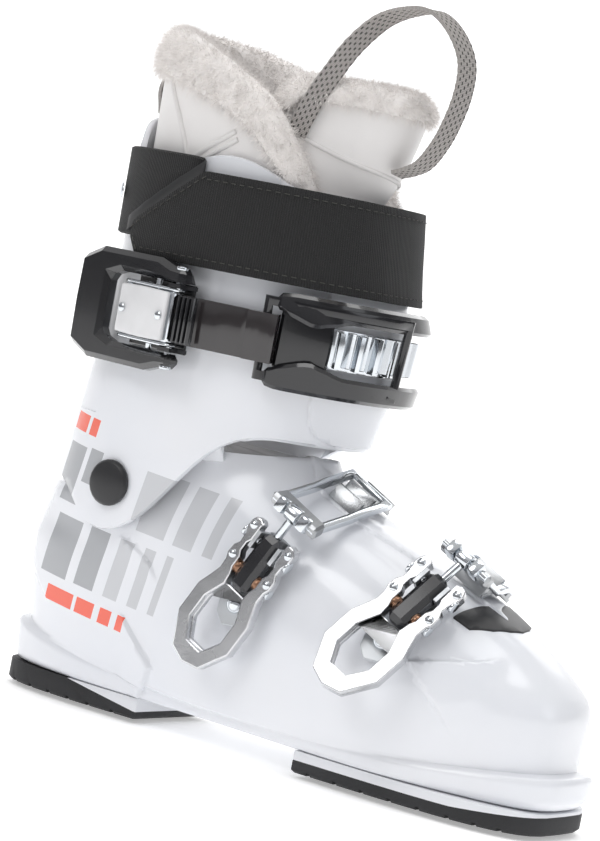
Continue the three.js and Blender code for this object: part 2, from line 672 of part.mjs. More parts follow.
// A track is a row of surface points; acrosses holds the direction across it at each of them.
function makeTrack(points, acrosses) {
  const lengths = [0];
  for (let i = 1; i < points.length; i += 1) lengths.push(lengths[i - 1] + points[i].distanceTo(points[i - 1]));
  const between = (list, s) => {
    let i = 1;
    while (i < points.length - 1 && lengths[i] < s) i += 1;
    return list[i - 1].clone().lerp(list[i], (s - lengths[i - 1]) / (lengths[i] - lengths[i - 1]));
  };
  const pointAt = (s) => between(points, s);
  // The frame at s, squared up to the chord between two places of the track.
  const chordFrame = (s, from, to) => {
    const along = pointAt(s + to).sub(pointAt(s + from)).normalize();
    const inward = new THREE.Vector3().crossVectors(along, between(acrosses, s)).normalize();
    const across = new THREE.Vector3().crossVectors(inward, along);
    return new THREE.Matrix4().makeBasis(across, inward, along).setPosition(pointAt(s));
  };
  const frameAt = (s) => chordFrame(s, -3, 3);
  return { pointAt, frameAt, chordFrame };
}

// The seat of a flat piece: parallel to the chord and just clear of the surface's bulge.
function seatFrame(track, from, to) {
  const frame = track.chordFrame(track.seat, from, to);
  const back = frame.clone().invert();
  let bulge = 0;
  for (let s = from; s <= to; s += 1) {
    bulge = Math.max(bulge, -track.pointAt(track.seat + s).applyMatrix4(back).y);
  }
  return frame.multiply(new THREE.Matrix4().makeTranslation(0, -bulge, 0));
}

// Over the foot: a plane that leans back by pitch from a place on the buckle side.
function footTrack(x, z, pitch) {
  const across = new THREE.Vector3(Math.cos(pitch), 0, -Math.sin(pitch));
  const up = new THREE.Vector3(Math.sin(pitch), 0, Math.cos(pitch));
  const start = new THREE.Vector3(x, 0, z);
  const centre = start.clone().addScaledVector(up, -22);
  const inside = (p) => Math.abs(p.y - swingAt(p.x)) < shellHalfWidth(p.x, p.z);
  const points = [];
  for (let degrees = -30; degrees <= 120; degrees += 2.5) {
    const angle = THREE.MathUtils.degToRad(degrees);
    const ray = up.clone().multiplyScalar(Math.sin(angle)).add(new THREE.Vector3(0, -Math.cos(angle), 0));
    let near = 2;
    let far = 90;
    for (let i = 0; i < 30; i += 1) {
      const middle = (near + far) / 2;
      if (inside(centre.clone().addScaledVector(ray, middle))) near = middle;
      else far = middle;
    }
    points.push(centre.clone().addScaledVector(ray, near));
  }
  const track = makeTrack(points, points.map(() => across));
  let seat = 0;
  while (track.pointAt(seat).sub(start).dot(up) < 0) seat += 0.5;
  return { ...track, seat };
}

// Round the cuff at one height, from the rear of the buckle side to past the front.
function cuffTrack(z, x) {
  const points = [];
  const acrosses = [];
  const from = turnAt(z, x - 66);
  for (let i = 0; i <= 60; i += 1) {
    const turn = mix(from, Math.PI + 0.8, i / 60);
    points.push(cuffPoint(z, turn));
    acrosses.push(cuffPoint(z - 9, turn).sub(cuffPoint(z + 9, turn)).normalize());
  }
  const track = makeTrack(points, acrosses);
  let seat = 0;
  while (track.pointAt(seat).x < x) seat += 0.5;
  return { ...track, seat };
}

// A bar of rectangular section along a track, from one station to another.
function trackBar(track, from, to, across, outwards, steps) {
  const rings = [];
  for (let i = 0; i <= steps; i += 1) {
    const frame = track.frameAt(track.seat + mix(from, to, i / steps));
    rings.push([[0, 0], [1, 0], [1, 1], [0, 1]].map(([a, h]) => new THREE.Vector3(
      across[a], -outwards[h], 0).applyMatrix4(frame)));
  }
  return loft(rings);
}

// A point at a station of the track, across and outwards from it.
function trackPoint(track, station, across, outwards) {
  return new THREE.Vector3(across, -outwards, 0).applyMatrix4(track.frameAt(track.seat + station));
}

const columnOf = (matrix, index) => new THREE.Vector3().setFromMatrixColumn(matrix, index);

function placed(geometry, matrix) {
  return geometry.clone().applyMatrix4(matrix);
}

// A bail, in the frame of its hinge: two rails from the near bar to a far bar over the last station.
function bail(track, hinge, halfWidth, rail, stations, lift) {
  const centres = [new THREE.Vector3().setFromMatrixPosition(hinge)];
  const acrosses = [columnOf(hinge, 0)];
  for (const station of stations) {
    centres.push(trackPoint(track, station, 0, lift));
    acrosses.push(columnOf(track.frameAt(track.seat + station), 0));
  }
  const rings = centres.map((point, i) => {
    const before = centres[Math.max(0, i - 1)];
    const after = centres[Math.min(centres.length - 1, i + 1)];
    const along = after.clone().sub(before).normalize();
    const outwards = new THREE.Vector3().crossVectors(acrosses[i], along).normalize();
    const across = new THREE.Vector3().crossVectors(along, outwards);
    return { point, along, outwards, across };
  });
  const side = (sign) => loft(rings.map(({ point, outwards, across }) => [[-1, -1], [1, -1], [1, 1], [-1, 1]]
    .map(([a, h]) => point.clone()
      .addScaledVector(across, sign * (halfWidth - rail / 2) + (a * rail) / 2)
      .addScaledVector(outwards, (h * rail) / 2))));
  const bar = (ring, axis, radius) => {
    const geometry = new THREE.CylinderGeometry(radius, radius, 2 * halfWidth, 12);
    const sideways = new THREE.Vector3().crossVectors(axis, ring.along).normalize();
    const ahead = new THREE.Vector3().crossVectors(sideways, axis);
    const turn = new THREE.Matrix4().makeBasis(sideways, axis, ahead).setPosition(ring.point);
    return outward(geometry.applyMatrix4(turn));
  };
  const bars = [bar(rings[0], acrosses[0], rail / 2), bar(rings.at(-1), acrosses.at(-1), rail / 2)];
  const whole = join(side(-1), side(1), ...bars);
  return placed(whole, hinge.clone().invert());
}

// ---------- forefoot buckles ----------

const BUCKLE = {
  hingeOut: 9.5, // hinge pins above the shell
  crossOut: 8, // cross pin above the shell, inside the hinge line so that the lever snaps shut
  crossDown: 15, // cross pin below the hinge
  pin: 1.5,
  pinGap: 0.3,
  earInner: 5.6,
  earOuter: 7.4,
  armInner: 8,
  armOuter: 12.4,
  barrel: 4.6,
  eyeUp: 19,
  bailHalf: 13,
  bailRail: 3.2,
};

function footBuckle(name, track, reach) {
  const seat = seatFrame(track, -46, 5);
  const b = BUCKLE;
  const bore = b.pin + b.pinGap;
  const hingeBore = rodAcross(bore, [-30, 30], b.hingeOut, 0);
  const crossBore = rodAcross(bore, [-30, 30], b.crossOut, -b.crossDown);

  const ears = [-1, 1].map((side) => block(
    [side * b.earInner, side * b.earOuter].sort((p, q) => p - q), [1.2, 12.4], [-4.2, 4.2]));
  const foot = plate([[8.4, -22], [9, -18], [7.4, 4.6], [5, 6]], [0.9, 2.5]);
  add(`${name}_base`, cut(join(foot, ...ears), hingeBore), 'alloy', seat);

  const dome = turnedOut([[0, 2.7], [3.6, 2.7], [3.4, 2.9], [0, 3.1]], -18);
  add(`${name}_base_rivet`, dome, 'steel', seat);

  const half = [[9.2, 6.6], [b.armOuter, 3.4], [b.armOuter, -18], [15.8, -31], [15.8, -47], [8.4, -61], [6, -62]];
  const grip = [[5.4, -30], [9.2, -36], [9.2, -46], [4.8, -54.5]];
  const slot = block([-b.armInner, b.armInner], [-10, 40], [-24.5, 20]);
  const leverBody = join(plate(half, [6.6, 12], [grip]), leverCheek(-1), leverCheek(1));
  add(`${name}_lever`, cut(leverBody, slot, hingeBore, crossBore), 'alloy', seat);

  for (const [side, word] of [[-1, 'rear'], [1, 'front']]) {
    const range = (low, high) => [side * low, side * high].sort((p, q) => p - q);
    const pin = join(rodAcross(b.pin, range(5, 13.4), b.hingeOut, 0),
      rodAcross(2.9, range(12.8, 14.2), b.hingeOut, 0));
    add(`${name}_hinge_pin_${word}`, outward(pin), 'steel', seat);
    const coil = cut(rodAcross(3.3, range(5, 7.7), b.crossOut, -b.crossDown, 14),
      rodAcross(bore, [-30, 30], b.crossOut, -b.crossDown));
    add(`${name}_spring_${word}`, coil, 'copper', seat);
  }

  const crossPin = join(rodAcross(b.pin, [-13.2, 13.2], b.crossOut, -b.crossDown),
    rodAcross(2.6, [12.7, 14], b.crossOut, -b.crossDown));
  add(`${name}_cross_pin`, crossPin, 'steel', seat);

  const barrel = rodAlong(b.barrel, [-22, 5.5], b.crossOut, 6);
  const rodBore = rodAlong(2.2, [-11, 20], b.crossOut);
  add(`${name}_barrel`, cut(barrel, crossBore, rodBore), 'alloy', seat);

  const rod = join(rodAlong(1.9, [-10.5, b.eyeUp], b.crossOut), rodAcross(3.9, [-3.2, 3.2], b.crossOut, b.eyeUp));
  const eyeBore = rodAcross(b.bailRail / 2 + b.pinGap, [-30, 30], b.crossOut, b.eyeUp);
  add(`${name}_rod`, cut(rod, eyeBore), 'steel', seat);

  const eye = seat.clone().multiply(new THREE.Matrix4().makeTranslation(0, -b.crossOut, b.eyeUp));
  const stations = [0.3, 0.5, 0.7, 0.87, 1].map((share) => b.eyeUp + (reach - b.eyeUp) * share);
  add(`${name}_bail`, bail(track, eye, b.bailHalf, b.bailRail, stations, 6.4), 'steel', eye);

  add(`${name}_tooth_block`, toothBlock(track, reach, 8.4), 'alloy');
}

// Rounded cheek that carries the lever's pins on one side.
function leverCheek(side) {
  const b = BUCKLE;
  const across = [side * b.armInner, side * (b.armOuter - 0.4)].sort((p, q) => p - q);
  return block(across, [5.2, 11.8], [-20, 4.5]);
}

// A turned rivet or boss that stands out from the seat at a place along it.
function turnedOut(profile, along, sides = 12) {
  const geometry = new THREE.LatheGeometry(profile.map(([r, h]) => new THREE.Vector2(r, h)), sides);
  geometry.rotateX(Math.PI);
  geometry.translate(0, 0, along);
  return outward(geometry);
}

// Toothed catch: the bail's far bar drops in behind one of its teeth.
function toothBlock(track, reach, half) {
  const bed = trackBar(track, reach - 15, reach + 11, [-half, half], [1.1, 2.9], 6);
  const teeth = [-13.2, -5.5].map((offset) => {
    const frame = track.frameAt(track.seat + reach + offset);
    const shape = new THREE.Shape([[-3.4, -2.0], [1.6, -2.0], [2.4, -7.4], [0.9, -7.8]]
      .map(([w, h]) => new THREE.Vector2(w, h)));
    const tooth = new THREE.ExtrudeGeometry(shape, { depth: 2 * half - 1, bevelEnabled: false });
    tooth.applyMatrix4(new THREE.Matrix4().makeBasis(
      new THREE.Vector3(0, 0, 1), new THREE.Vector3(0, 1, 0), new THREE.Vector3(-1, 0, 0)));
    tooth.translate(half - 0.5, 0, 0);
    return placed(tooth, frame);
  });
  const stop = placed(block([-half + 0.5, half - 0.5], [2, 7], [-2, 2.4]), track.frameAt(track.seat + reach + 8));
  return join(bed, ...teeth, stop);
}

// ---------- cuff buckle ----------

const CUFF_BUCKLE = {
  hingeOut: 8.5,
  crossOut: 7,
  crossBack: 15,
  earInner: 13.2,
  earOuter: 15,
  armInner: 15.6,
  armOuter: 21.5,
  blockHalf: 11.4,
  bandHalf: 10.8,
  bandEnd: 40,
  bailHalf: 18.5,
  bailRail: 4,
};

function cuffBuckle(track) {
  const c = CUFF_BUCKLE;
  const seat = seatFrame(track, -60, 4);
  const bore = BUCKLE.pin + BUCKLE.pinGap;
  const hingeBore = rodAcross(bore, [-40, 40], c.hingeOut, 0);
  const crossBore = rodAcross(bore, [-40, 40], c.crossOut, -c.crossBack);

  const foot = plate([[15.4, -34], [15.4, 3.4]], [0.9, 2.5]);
  const ears = [-1, 1].map((side) => block(
    [side * c.earInner, side * c.earOuter].sort((p, q) => p - q), [1.2, 11.6], [-4, 4]));
  add('cuff_buckle_base', cut(join(foot, ...ears), hingeBore), 'black', seat);

  const half = [[16.4, 4], [20, 4], [c.armOuter, -8], [c.armOuter + 1.5, -40], [16, -58], [8, -63]];
  const window = [[14.6, -36.5], [12.4, -44]];
  const slot = block([-c.armInner, c.armInner], [-10, 40], [-38, 20]);
  const leverBody = plate(half, [5, 11.4], [window]);
  add('cuff_lever', cut(leverBody, slot, hingeBore, crossBore), 'black', seat);

  for (const [side, word] of [[-1, 'upper'], [1, 'lower']]) {
    const range = (low, high) => [side * low, side * high].sort((p, q) => p - q);
    const pin = join(rodAcross(BUCKLE.pin, range(12.7, 21.7), c.hingeOut, 0),
      rodAcross(2.7, range(21.2, 22.8), c.hingeOut, 0));
    add(`cuff_hinge_pin_${word}`, pin, 'steel', seat);
  }
  const crossPin = rodAcross(BUCKLE.pin, [-20.8, 20.8], c.crossOut, -c.crossBack);
  add('cuff_cross_pin', crossPin, 'steel', seat);

  const carrier = block([-c.blockHalf, c.blockHalf], [3.4, 10.2], [-34, -1]);
  const channel = block([-c.bandHalf + 1.2, c.bandHalf - 1.2], [4.7, 8.9 - 2.4], [-9.5, 3]);
  add('cuff_adjuster_body', cut(carrier, channel, crossBore), 'steel', seat);
  add('cuff_adjuster_cap', plate([[10.8, -33], [10.8, -2]], [10.5, 13.2]), 'white', seat);
  for (const along of [-30, -5]) {
    add(`cuff_adjuster_screw_${along < -10 ? 'rear' : 'front'}`,
      turnedOut([[0, 13.5], [2.1, 13.5], [2.1, 14.1], [1.2, 14.6], [0, 14.6]], along, 12), 'steel', seat);
  }

  add('cuff_band', ribbedBand(track, seat), 'black');
  const nose = track.frameAt(track.seat + c.bandEnd - 4).multiply(new THREE.Matrix4().makeTranslation(0, -6.2, 0));
  const stations = [8, 20, 32, 44, 53, 60].map((on) => c.bandEnd + on);
  add('cuff_bail', bail(track, nose, c.bailHalf, c.bailRail, stations, 6.6), 'black', nose);
  add('cuff_ladder', ladder(track, c.bandEnd + 60), 'steel');
}

// Ribbed band: its tail slides in the adjuster, its nose carries the bail.
function ribbedBand(track, seat) {
  const c = CUFF_BUCKLE;
  const tail = placed(block([-c.bandHalf + 1.5, c.bandHalf - 1.5], [5, 6.2], [-9.2, 2]), seat);
  const ring = (frame, low, high) => [[-1, low], [1, low], [1, high], [-1, high]].map(
    ([a, h]) => new THREE.Vector3(a * c.bandHalf, -h, 0).applyMatrix4(frame));
  const shifted = (along) => seat.clone().multiply(new THREE.Matrix4().makeTranslation(0, 0, along));
  const rows = [ring(shifted(0.5), 4.4, 7.2), ring(shifted(6), 4.4, 7.2)];
  for (let station = 14; station <= c.bandEnd - 6; station += 4) {
    rows.push(ring(track.frameAt(track.seat + station), 4.6, 7.4));
  }
  const strip = loft(rows);
  const nose = trackBar(track, c.bandEnd - 11, c.bandEnd + 1, [-c.bandHalf, c.bandHalf], [2.8, 9.6], 4);
  const frame = track.frameAt(track.seat + c.bandEnd - 4);
  const bore = placed(rodAcross(c.bailRail / 2 + BUCKLE.pinGap, [-40, 40], 6.2, 0), frame);
  return cut(join(tail, strip, nose), bore);
}

function ladder(track, reach) {
  const half = 9;
  const bed = trackBar(track, reach - 46, reach + 12, [-half, half], [0.8, 2.2], 12);
  const teeth = [-33, -24, -15, -5.2].map((offset) => {
    const frame = track.frameAt(track.seat + reach + offset);
    return placed(block([-half + 1, half - 1], [2, 5.6], [-1.1, 1.1]), frame);
  });
  return join(bed, ...teeth);
}

// ---------- assembly ----------

function build() {
  const shell = lowerShell();
  add('lower_shell', shell, 'white');
  addSole('heel', sole(-62, HEEL_X + 0.4, [29.5, 31], 3.4, 0), [[-128, 0], [-84, 0]]);
  addSole('toe', sole(30, TOE_X - 3.5, [39.5, 41.5], 3.8, 2), [[56, 2], [118, 2]]);
  add('toe_insert', toeInsert(shell), 'black');
  add('boot_board', bootBoard(), 'grey');
  add('liner_foot', footLiner(), 'lining');

  add('cuff', cuff(), 'white');
  add('spoiler', spoiler(), 'white');
  add('liner_cuff', cuffLiner(), 'lining');
  add('tongue', tongue(), 'lining');
  add('pull_loop', pullLoop(), 'grey');
  add('rear_pull_tab', rearPullTab(), 'grey');

  addStrap();

  for (const [side, word] of [[-1, 'outer'], [1, 'inner']]) {
    add(`pivot_cap_${word}`, pivotCap(side), 'black');
    add(`pivot_bush_${word}`, pivotBush(side), 'steel');
  }

  footBuckle('instep_buckle', footTrack(5, 92, THREE.MathUtils.degToRad(26)), 52);
  footBuckle('toe_buckle', footTrack(78, 86.5, THREE.MathUtils.degToRad(26)), 35);
  cuffBuckle(cuffTrack(183, -54));
}

build();
const bounds = new THREE.Box3().setFromObject(boot);
boot.position.set(-(bounds.min.x + bounds.max.x) / 2, -(bounds.min.y + bounds.max.y) / 2, -bounds.min.z);

export default boot;
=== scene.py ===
"""Alpine ski boot for the right foot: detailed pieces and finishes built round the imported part."""

import json
import math
import random
from bisect import bisect

import bpy
from bpy.props import FloatProperty, FloatVectorProperty, IntProperty, PointerProperty
from bpy.types import Operator, Panel, PropertyGroup
from mathutils import Matrix, Vector
from mathutils.bvhtree import BVHTree


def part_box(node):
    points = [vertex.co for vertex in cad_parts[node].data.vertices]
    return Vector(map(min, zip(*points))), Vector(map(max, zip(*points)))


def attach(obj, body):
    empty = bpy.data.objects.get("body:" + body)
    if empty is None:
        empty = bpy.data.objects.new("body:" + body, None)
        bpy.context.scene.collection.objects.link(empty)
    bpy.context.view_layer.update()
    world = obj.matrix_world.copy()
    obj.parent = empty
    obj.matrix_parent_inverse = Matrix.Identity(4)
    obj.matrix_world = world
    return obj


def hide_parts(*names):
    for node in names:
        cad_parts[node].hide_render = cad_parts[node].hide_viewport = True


bl_info = {
    "name": "Ski boot",
    "version": (1, 0, 0),
    "blender": (4, 5, 0),
    "location": "View3D > Sidebar > Ski boot",
    "description": "Builds the visible pieces and finishes of an alpine ski boot",
    "category": "Object",
}

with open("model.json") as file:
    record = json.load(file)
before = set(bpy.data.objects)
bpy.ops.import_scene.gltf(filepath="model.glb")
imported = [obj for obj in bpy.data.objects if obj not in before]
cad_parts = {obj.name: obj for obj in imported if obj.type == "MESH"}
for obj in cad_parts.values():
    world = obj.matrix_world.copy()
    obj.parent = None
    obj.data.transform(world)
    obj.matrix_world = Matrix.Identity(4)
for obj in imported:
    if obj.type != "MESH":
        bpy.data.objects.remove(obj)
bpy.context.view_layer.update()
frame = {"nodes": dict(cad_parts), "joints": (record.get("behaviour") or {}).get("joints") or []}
NODES = frame["nodes"]
JOINTS = {joint["name"]: joint for joint in frame["joints"]}
MM = 0.001
CAST_REACH = 0.15  # rays at the leg start this far from its middle
GROUPS = {}
MATERIALS = {}


# ---------------------------------------------------------------- settings


class BootColours(PropertyGroup):
    """Colours of the finishes."""

    shell: FloatVectorProperty(name="Shell", description="Glossy shell plastic", subtype="COLOR",
                               default=(0.83, 0.84, 0.87))
    print_grey: FloatVectorProperty(name="Print grey", description="Grey bars printed on the shell",
                                    subtype="COLOR", default=(0.40, 0.41, 0.43))
    print_coral: FloatVectorProperty(name="Print coral", description="Coral bars printed on the shell",
                                     subtype="COLOR", default=(0.9, 0.14, 0.085))
    black: FloatVectorProperty(name="Black plastic", description="Buckle and cap plastic", subtype="COLOR",
                               default=(0.012, 0.012, 0.014))
    rubber: FloatVectorProperty(name="Rubber", description="Sole rubber", subtype="COLOR",
                                default=(0.022, 0.022, 0.024))
    webbing: FloatVectorProperty(name="Webbing", description="Booster strap webbing", subtype="COLOR",
                                 default=(0.0095, 0.0095, 0.0098))
    loop: FloatVectorProperty(name="Loop webbing", description="Finger loop webbing", subtype="COLOR",
                              default=(0.42, 0.395, 0.375))
    liner: FloatVectorProperty(name="Liner", description="Liner and tongue cover", subtype="COLOR",
                               default=(0.87, 0.85, 0.835))
    fur: FloatVectorProperty(name="Fur", description="Collar fur", subtype="COLOR",
                             default=(0.90, 0.865, 0.84))
    copper: FloatVectorProperty(name="Spring", description="Spring wire", subtype="COLOR",
                                default=(0.50, 0.30, 0.20))


class BootSizes(PropertyGroup):
    """Sizes of the details."""

    fur_length: FloatProperty(name="Fur length", description="Length of the collar's pile", default=0.0050,
                              unit="LENGTH")
    tufts: IntProperty(name="Tufts", description="Tufts of pile on the collar", default=26000, min=0)
    rib_pitch: FloatProperty(name="Rib pitch", description="Spacing of the webbing's ribs", default=0.0011,
                             unit="LENGTH")
    stitch_pitch: FloatProperty(name="Stitch pitch", description="Spacing of the strap's stitches",
                                default=0.0042, unit="LENGTH")
    coil_turns: IntProperty(name="Coil turns", description="Turns of each lever spring", default=5, min=2)


# ---------------------------------------------------------------- mesh helpers


def settle(obj, name):
    """Names an object and leaves it the only one selected and active."""
    obj.name = name
    obj.data.name = name
    only(obj)
    return obj


def only(obj):
    """Leaves an object the only one selected and active."""
    bpy.ops.object.select_all(action="DESELECT")
    obj.select_set(True)
    bpy.context.view_layer.objects.active = obj


def added(name, data):
    """A new object in the scene's own collection."""
    obj = bpy.data.objects.new(name, data)
    bpy.context.scene.collection.objects.link(obj)
    return obj


def clear_selection():
    """Leaves nothing selected, in object mode."""
    if bpy.context.view_layer.objects.active and bpy.context.object.mode != "OBJECT":
        bpy.ops.object.mode_set(mode="OBJECT")
    bpy.ops.object.select_all(action="DESELECT")


def apply_modifier(obj, kind, **values):
    """Adds a modifier with the given values and applies it."""
    modifier = obj.modifiers.new(kind.lower(), kind)
    for key, value in values.items():
        setattr(modifier, key, value)
    only(obj)
    bpy.ops.object.modifier_apply(modifier=modifier.name)
    return obj


def bevel(obj, width, segments=2, angle=30):
    """Rounds the edges sharper than an angle."""
    return apply_modifier(obj, "BEVEL", width=width, segments=segments, limit_method="ANGLE",
                          angle_limit=math.radians(angle), harden_normals=False)


def subdivide(obj, levels):
    """Subdivides a piece smoothly."""
    return apply_modifier(obj, "SUBSURF", levels=levels, render_levels=levels)


def smooth(obj, angle=35):
    """Shades a piece smooth, but for the edges sharper than an angle."""
    only(obj)
    bpy.ops.object.shade_smooth_by_angle(angle=math.radians(angle))
    return obj


def outwards(obj):
    """Merges doubles and turns all faces outwards."""
    only(obj)
    bpy.ops.object.mode_set(mode="EDIT")
    bpy.ops.mesh.select_all(action="SELECT")
    bpy.ops.mesh.remove_doubles(threshold=0.00001)
    bpy.ops.mesh.normals_make_consistent(inside=False)
    bpy.ops.object.mode_set(mode="OBJECT")
    return obj


def copy_of(node, name, quads=True, merge=0.00002):
    """A copy of a CAD node's mesh, merged, and in quads where its triangles pair up."""
    obj = added(name, NODES[node].data.copy())
    settle(obj, name)
    obj.data.materials.clear()
    bpy.ops.object.mode_set(mode="EDIT")
    bpy.ops.mesh.select_all(action="SELECT")
    bpy.ops.mesh.remove_doubles(threshold=merge)
    if quads:
        bpy.ops.mesh.tris_convert_to_quads(face_threshold=math.radians(50), shape_threshold=math.radians(60))
    bpy.ops.object.mode_set(mode="OBJECT")
    return obj


def dressed(node, name, width=0.0004, segments=2, edge=40, shade=35, quads=False):
    """A copy of a CAD node's mesh with its edges rounded."""
    return smooth(bevel(copy_of(node, name, quads=quads), width, segments, edge), shade)


def pad(node, name):
    """A copy of a soft CAD node's mesh, subdivided twice."""
    return smooth(subdivide(copy_of(node, name), 2), 60)


def from_points(name, points, faces):
    """A piece from its points and faces, merged and turned outwards."""
    mesh = bpy.data.meshes.new(name)
    mesh.from_pydata([tuple(p) for p in points], [], faces)
    mesh.validate()
    return outwards(settle(added(name, mesh), name))


def plate(name, outline, low, high, place, width=0.0006, segments=2):
    """A flat plate from an outline of (across, along) points in mm, low to high above its seat."""
    clear_selection()
    bpy.ops.mesh.primitive_circle_add(vertices=len(outline), radius=1, fill_type="NGON")
    obj = settle(bpy.context.object, name)
    for vertex, (across, along) in zip(obj.data.vertices, outline):
        vertex.co = (across, -low, along)
    bpy.ops.object.mode_set(mode="EDIT")
    bpy.ops.mesh.select_all(action="SELECT")
    bpy.ops.mesh.extrude_region_move(TRANSFORM_OT_translate={"value": (0, low - high, 0)})
    bpy.ops.object.mode_set(mode="OBJECT")
    obj.data.transform(place @ Matrix.Scale(MM, 4))
    outwards(obj)
    if width:
        bevel(obj, width, segments)
    return obj


def mirrored(half):
    """A closed outline from one side of it, listed from top to bottom."""
    return [(a, w) for a, w in half] + [(-a, w) for a, w in reversed(half) if a > 0.01]


def cut_out(obj, cutter):
    """Cuts one piece out of another and removes the cutter."""
    apply_modifier(obj, "BOOLEAN", operation="DIFFERENCE", solver="EXACT", object=cutter)
    bpy.data.objects.remove(cutter)
    return obj


def box(name, across, out, along, place, width=0.0004, segments=2):
    """A block between two places in mm across, out and along."""
    corners = [(across[0], along[0]), (across[1], along[0]), (across[1], along[1]), (across[0], along[1])]
    return plate(name, corners, out[0], out[1], place, width, segments)


def tube(name, points, radius, sides=3):
    """A round wire along points, in metres."""
    curve = bpy.data.curves.new(name, "CURVE")
    curve.dimensions = "3D"
    spline = curve.splines.new("POLY")
    spline.points.add(len(points) - 1)
    for spot, point in zip(spline.points, points):
        spot.co = (*point, 1)
    curve.bevel_depth = radius
    curve.bevel_resolution = sides
    curve.use_fill_caps = True
    obj = added(name, curve)
    only(obj)
    bpy.ops.object.convert(target="MESH")
    obj = settle(bpy.context.object, name)
    return smooth(outwards(obj), 50)


def turned(name, profile, place, steps=24):
    """A piece turned about the place's Z axis; profile is (radius, height) in mm."""
    mesh = bpy.data.meshes.new(name)
    mesh.from_pydata([(r, 0, h) for r, h in profile], [(i, i + 1) for i in range(len(profile) - 1)], [])
    obj = added(name, mesh)
    settle(obj, name)
    apply_modifier(obj, "SCREW", angle=math.tau, steps=steps, render_steps=steps, screw_offset=0,
                   use_merge_vertices=True, merge_threshold=0.001)
    obj.data.transform(place @ Matrix.Scale(MM, 4))
    return smooth(outwards(obj), 40)


def joined(name, pieces):
    """Several pieces as one."""
    only(pieces[0])
    for piece in pieces[1:]:
        piece.select_set(True)
    bpy.ops.object.join()
    return settle(bpy.context.object, name)


def paint(obj, material):
    """Gives a piece one of the boot's materials."""
    obj.data.materials.clear()
    obj.data.materials.append(MATERIALS[material])


def finish_node(node, material):
    """A CAD node that stays as it is gets its material."""
    paint(NODES[node], material)


def finish_piece(obj, material, body, slot, *nodes):
    """Gives a finished piece its material and its body and hides the nodes it stands for. Its slot is not
    used.
    """
    paint(obj, material)
    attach(obj, body)
    if nodes:
        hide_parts(*nodes)
    return obj


def tree_of(obj):
    """A piece's surface, for rays to be cast at."""
    return BVHTree.FromPolygons([v.co for v in obj.data.vertices], [p.vertices for p in obj.data.polygons])


def spoke(angle):
    """A level direction from the leg's middle: 0 is to the heel, a quarter turn to the buckle side."""
    return Vector((-math.cos(angle), -math.sin(angle), 0))


def bearing(p, centre):
    """The angle at which a point lies about the leg's middle, as spoke() counts it."""
    return math.atan2(-(p.y - centre.y), -(p.x - centre.x)) % math.tau


def cast(tree, centre, angle, z):
    """What a level ray from outside meets on its way to the leg's middle and on past it."""
    ray = spoke(angle)
    return tree.ray_cast(Vector((centre.x, centre.y, z)) + ray * CAST_REACH, -ray)


def middle_of(node):
    """The middle of a node's box, at the floor."""
    low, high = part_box(node)
    return Vector(((low.x + high.x) / 2, (low.y + high.y) / 2, 0))


# ---------------------------------------------------------------- places taken from the part


HINGE_HEIGHTS = {"instep": 9.5, "toe": 9.5, "cuff": 8.5}  # mm from a buckle's seat to its lever's hinge


def seat_of(kind):
    """Frame of a buckle's seat: X across it, Y into the boot, Z along the strap line."""
    lever = JOINTS[f"{kind}_lever_open"]
    slide = JOINTS["cuff_band_slide" if kind == "cuff" else f"{kind}_micro_adjust"]
    across = -Vector(lever["axis"])
    along = Vector(slide["axis"])
    inward = along.cross(across)
    origin = Vector(lever["pos_m"]) + inward * HINGE_HEIGHTS[kind] * MM
    frame_matrix = Matrix((across, inward, along)).transposed().to_4x4()
    frame_matrix.translation = origin
    return frame_matrix


def local(place, across, out, along):
    """A point given in mm in a buckle's seat."""
    return place @ (Vector((across, -out, along)) * MM)


class Wrap:
    """The cuff's outside as a surface to lay bands on: by a place along the boot's girth and a height."""

    rim = 0.236
    below_rim = 0.212
    band_height = 0.225

    def __init__(self):
        self.tree = tree_of(NODES["cuff"])
        self.centre = middle_of("cuff")

    def hit(self, angle, z):
        """The place and the normal where a ray meets the cuff."""
        return cast(self.tree, self.centre, angle, z)[:2]

    def point(self, angle, z, lift):
        """A point above the cuff; above its rim the wall is carried on straight."""
        spot, normal = self.hit(angle, min(z, self.rim))
        if z > self.rim:
            below, _ = self.hit(angle, self.below_rim)
            spot = spot + (spot - below) * ((z - self.rim) / (self.rim - self.below_rim))
        flat = Vector((normal.x, normal.y, 0)).normalized()
        return spot + flat * lift

    def angle_at(self, x, side=1):
        """The angle on the buckle side at which the cuff passes a place along the boot."""
        low, high = 0.0, math.pi
        for _ in range(30):
            middle = (low + high) / 2
            if self.point(middle * side, self.band_height, 0).x < x:
                low = middle
            else:
                high = middle
        return side * (low + high) / 2


def strip_on(name, wrap, columns, rows, lift, thickness):
    """A band laid on the cuff. columns are angles; rows(i) gives the heights of column i from low to high."""
    heights = [rows(i) for i in range(len(columns))]
    count = len(heights[0])
    points, faces = [], []
    for level in (lift, lift + thickness):
        for angle, column in zip(columns, heights):
            points.extend(wrap.point(angle, z, level) for z in column)
    layer = len(columns) * count
    for i in range(len(columns) - 1):
        for k in range(count - 1):
            a, b = i * count + k, (i + 1) * count + k
            faces.append((a, b, b + 1, a + 1))
            faces.append((layer + a, layer + a + 1, layer + b + 1, layer + b))
    rim = ([i * count for i in range(len(columns))]
           + [(len(columns) - 1) * count + k for k in range(1, count)]
           + [i * count + count - 1 for i in range(len(columns) - 2, -1, -1)]
           + [k for k in range(count - 2, 0, -1)])
    for here, there in zip(rim, rim[1:] + rim[:1]):
        faces.append((here, there, layer + there, layer + here))
    return from_points(name, points, faces)


# ---------------------------------------------------------------- shader groups


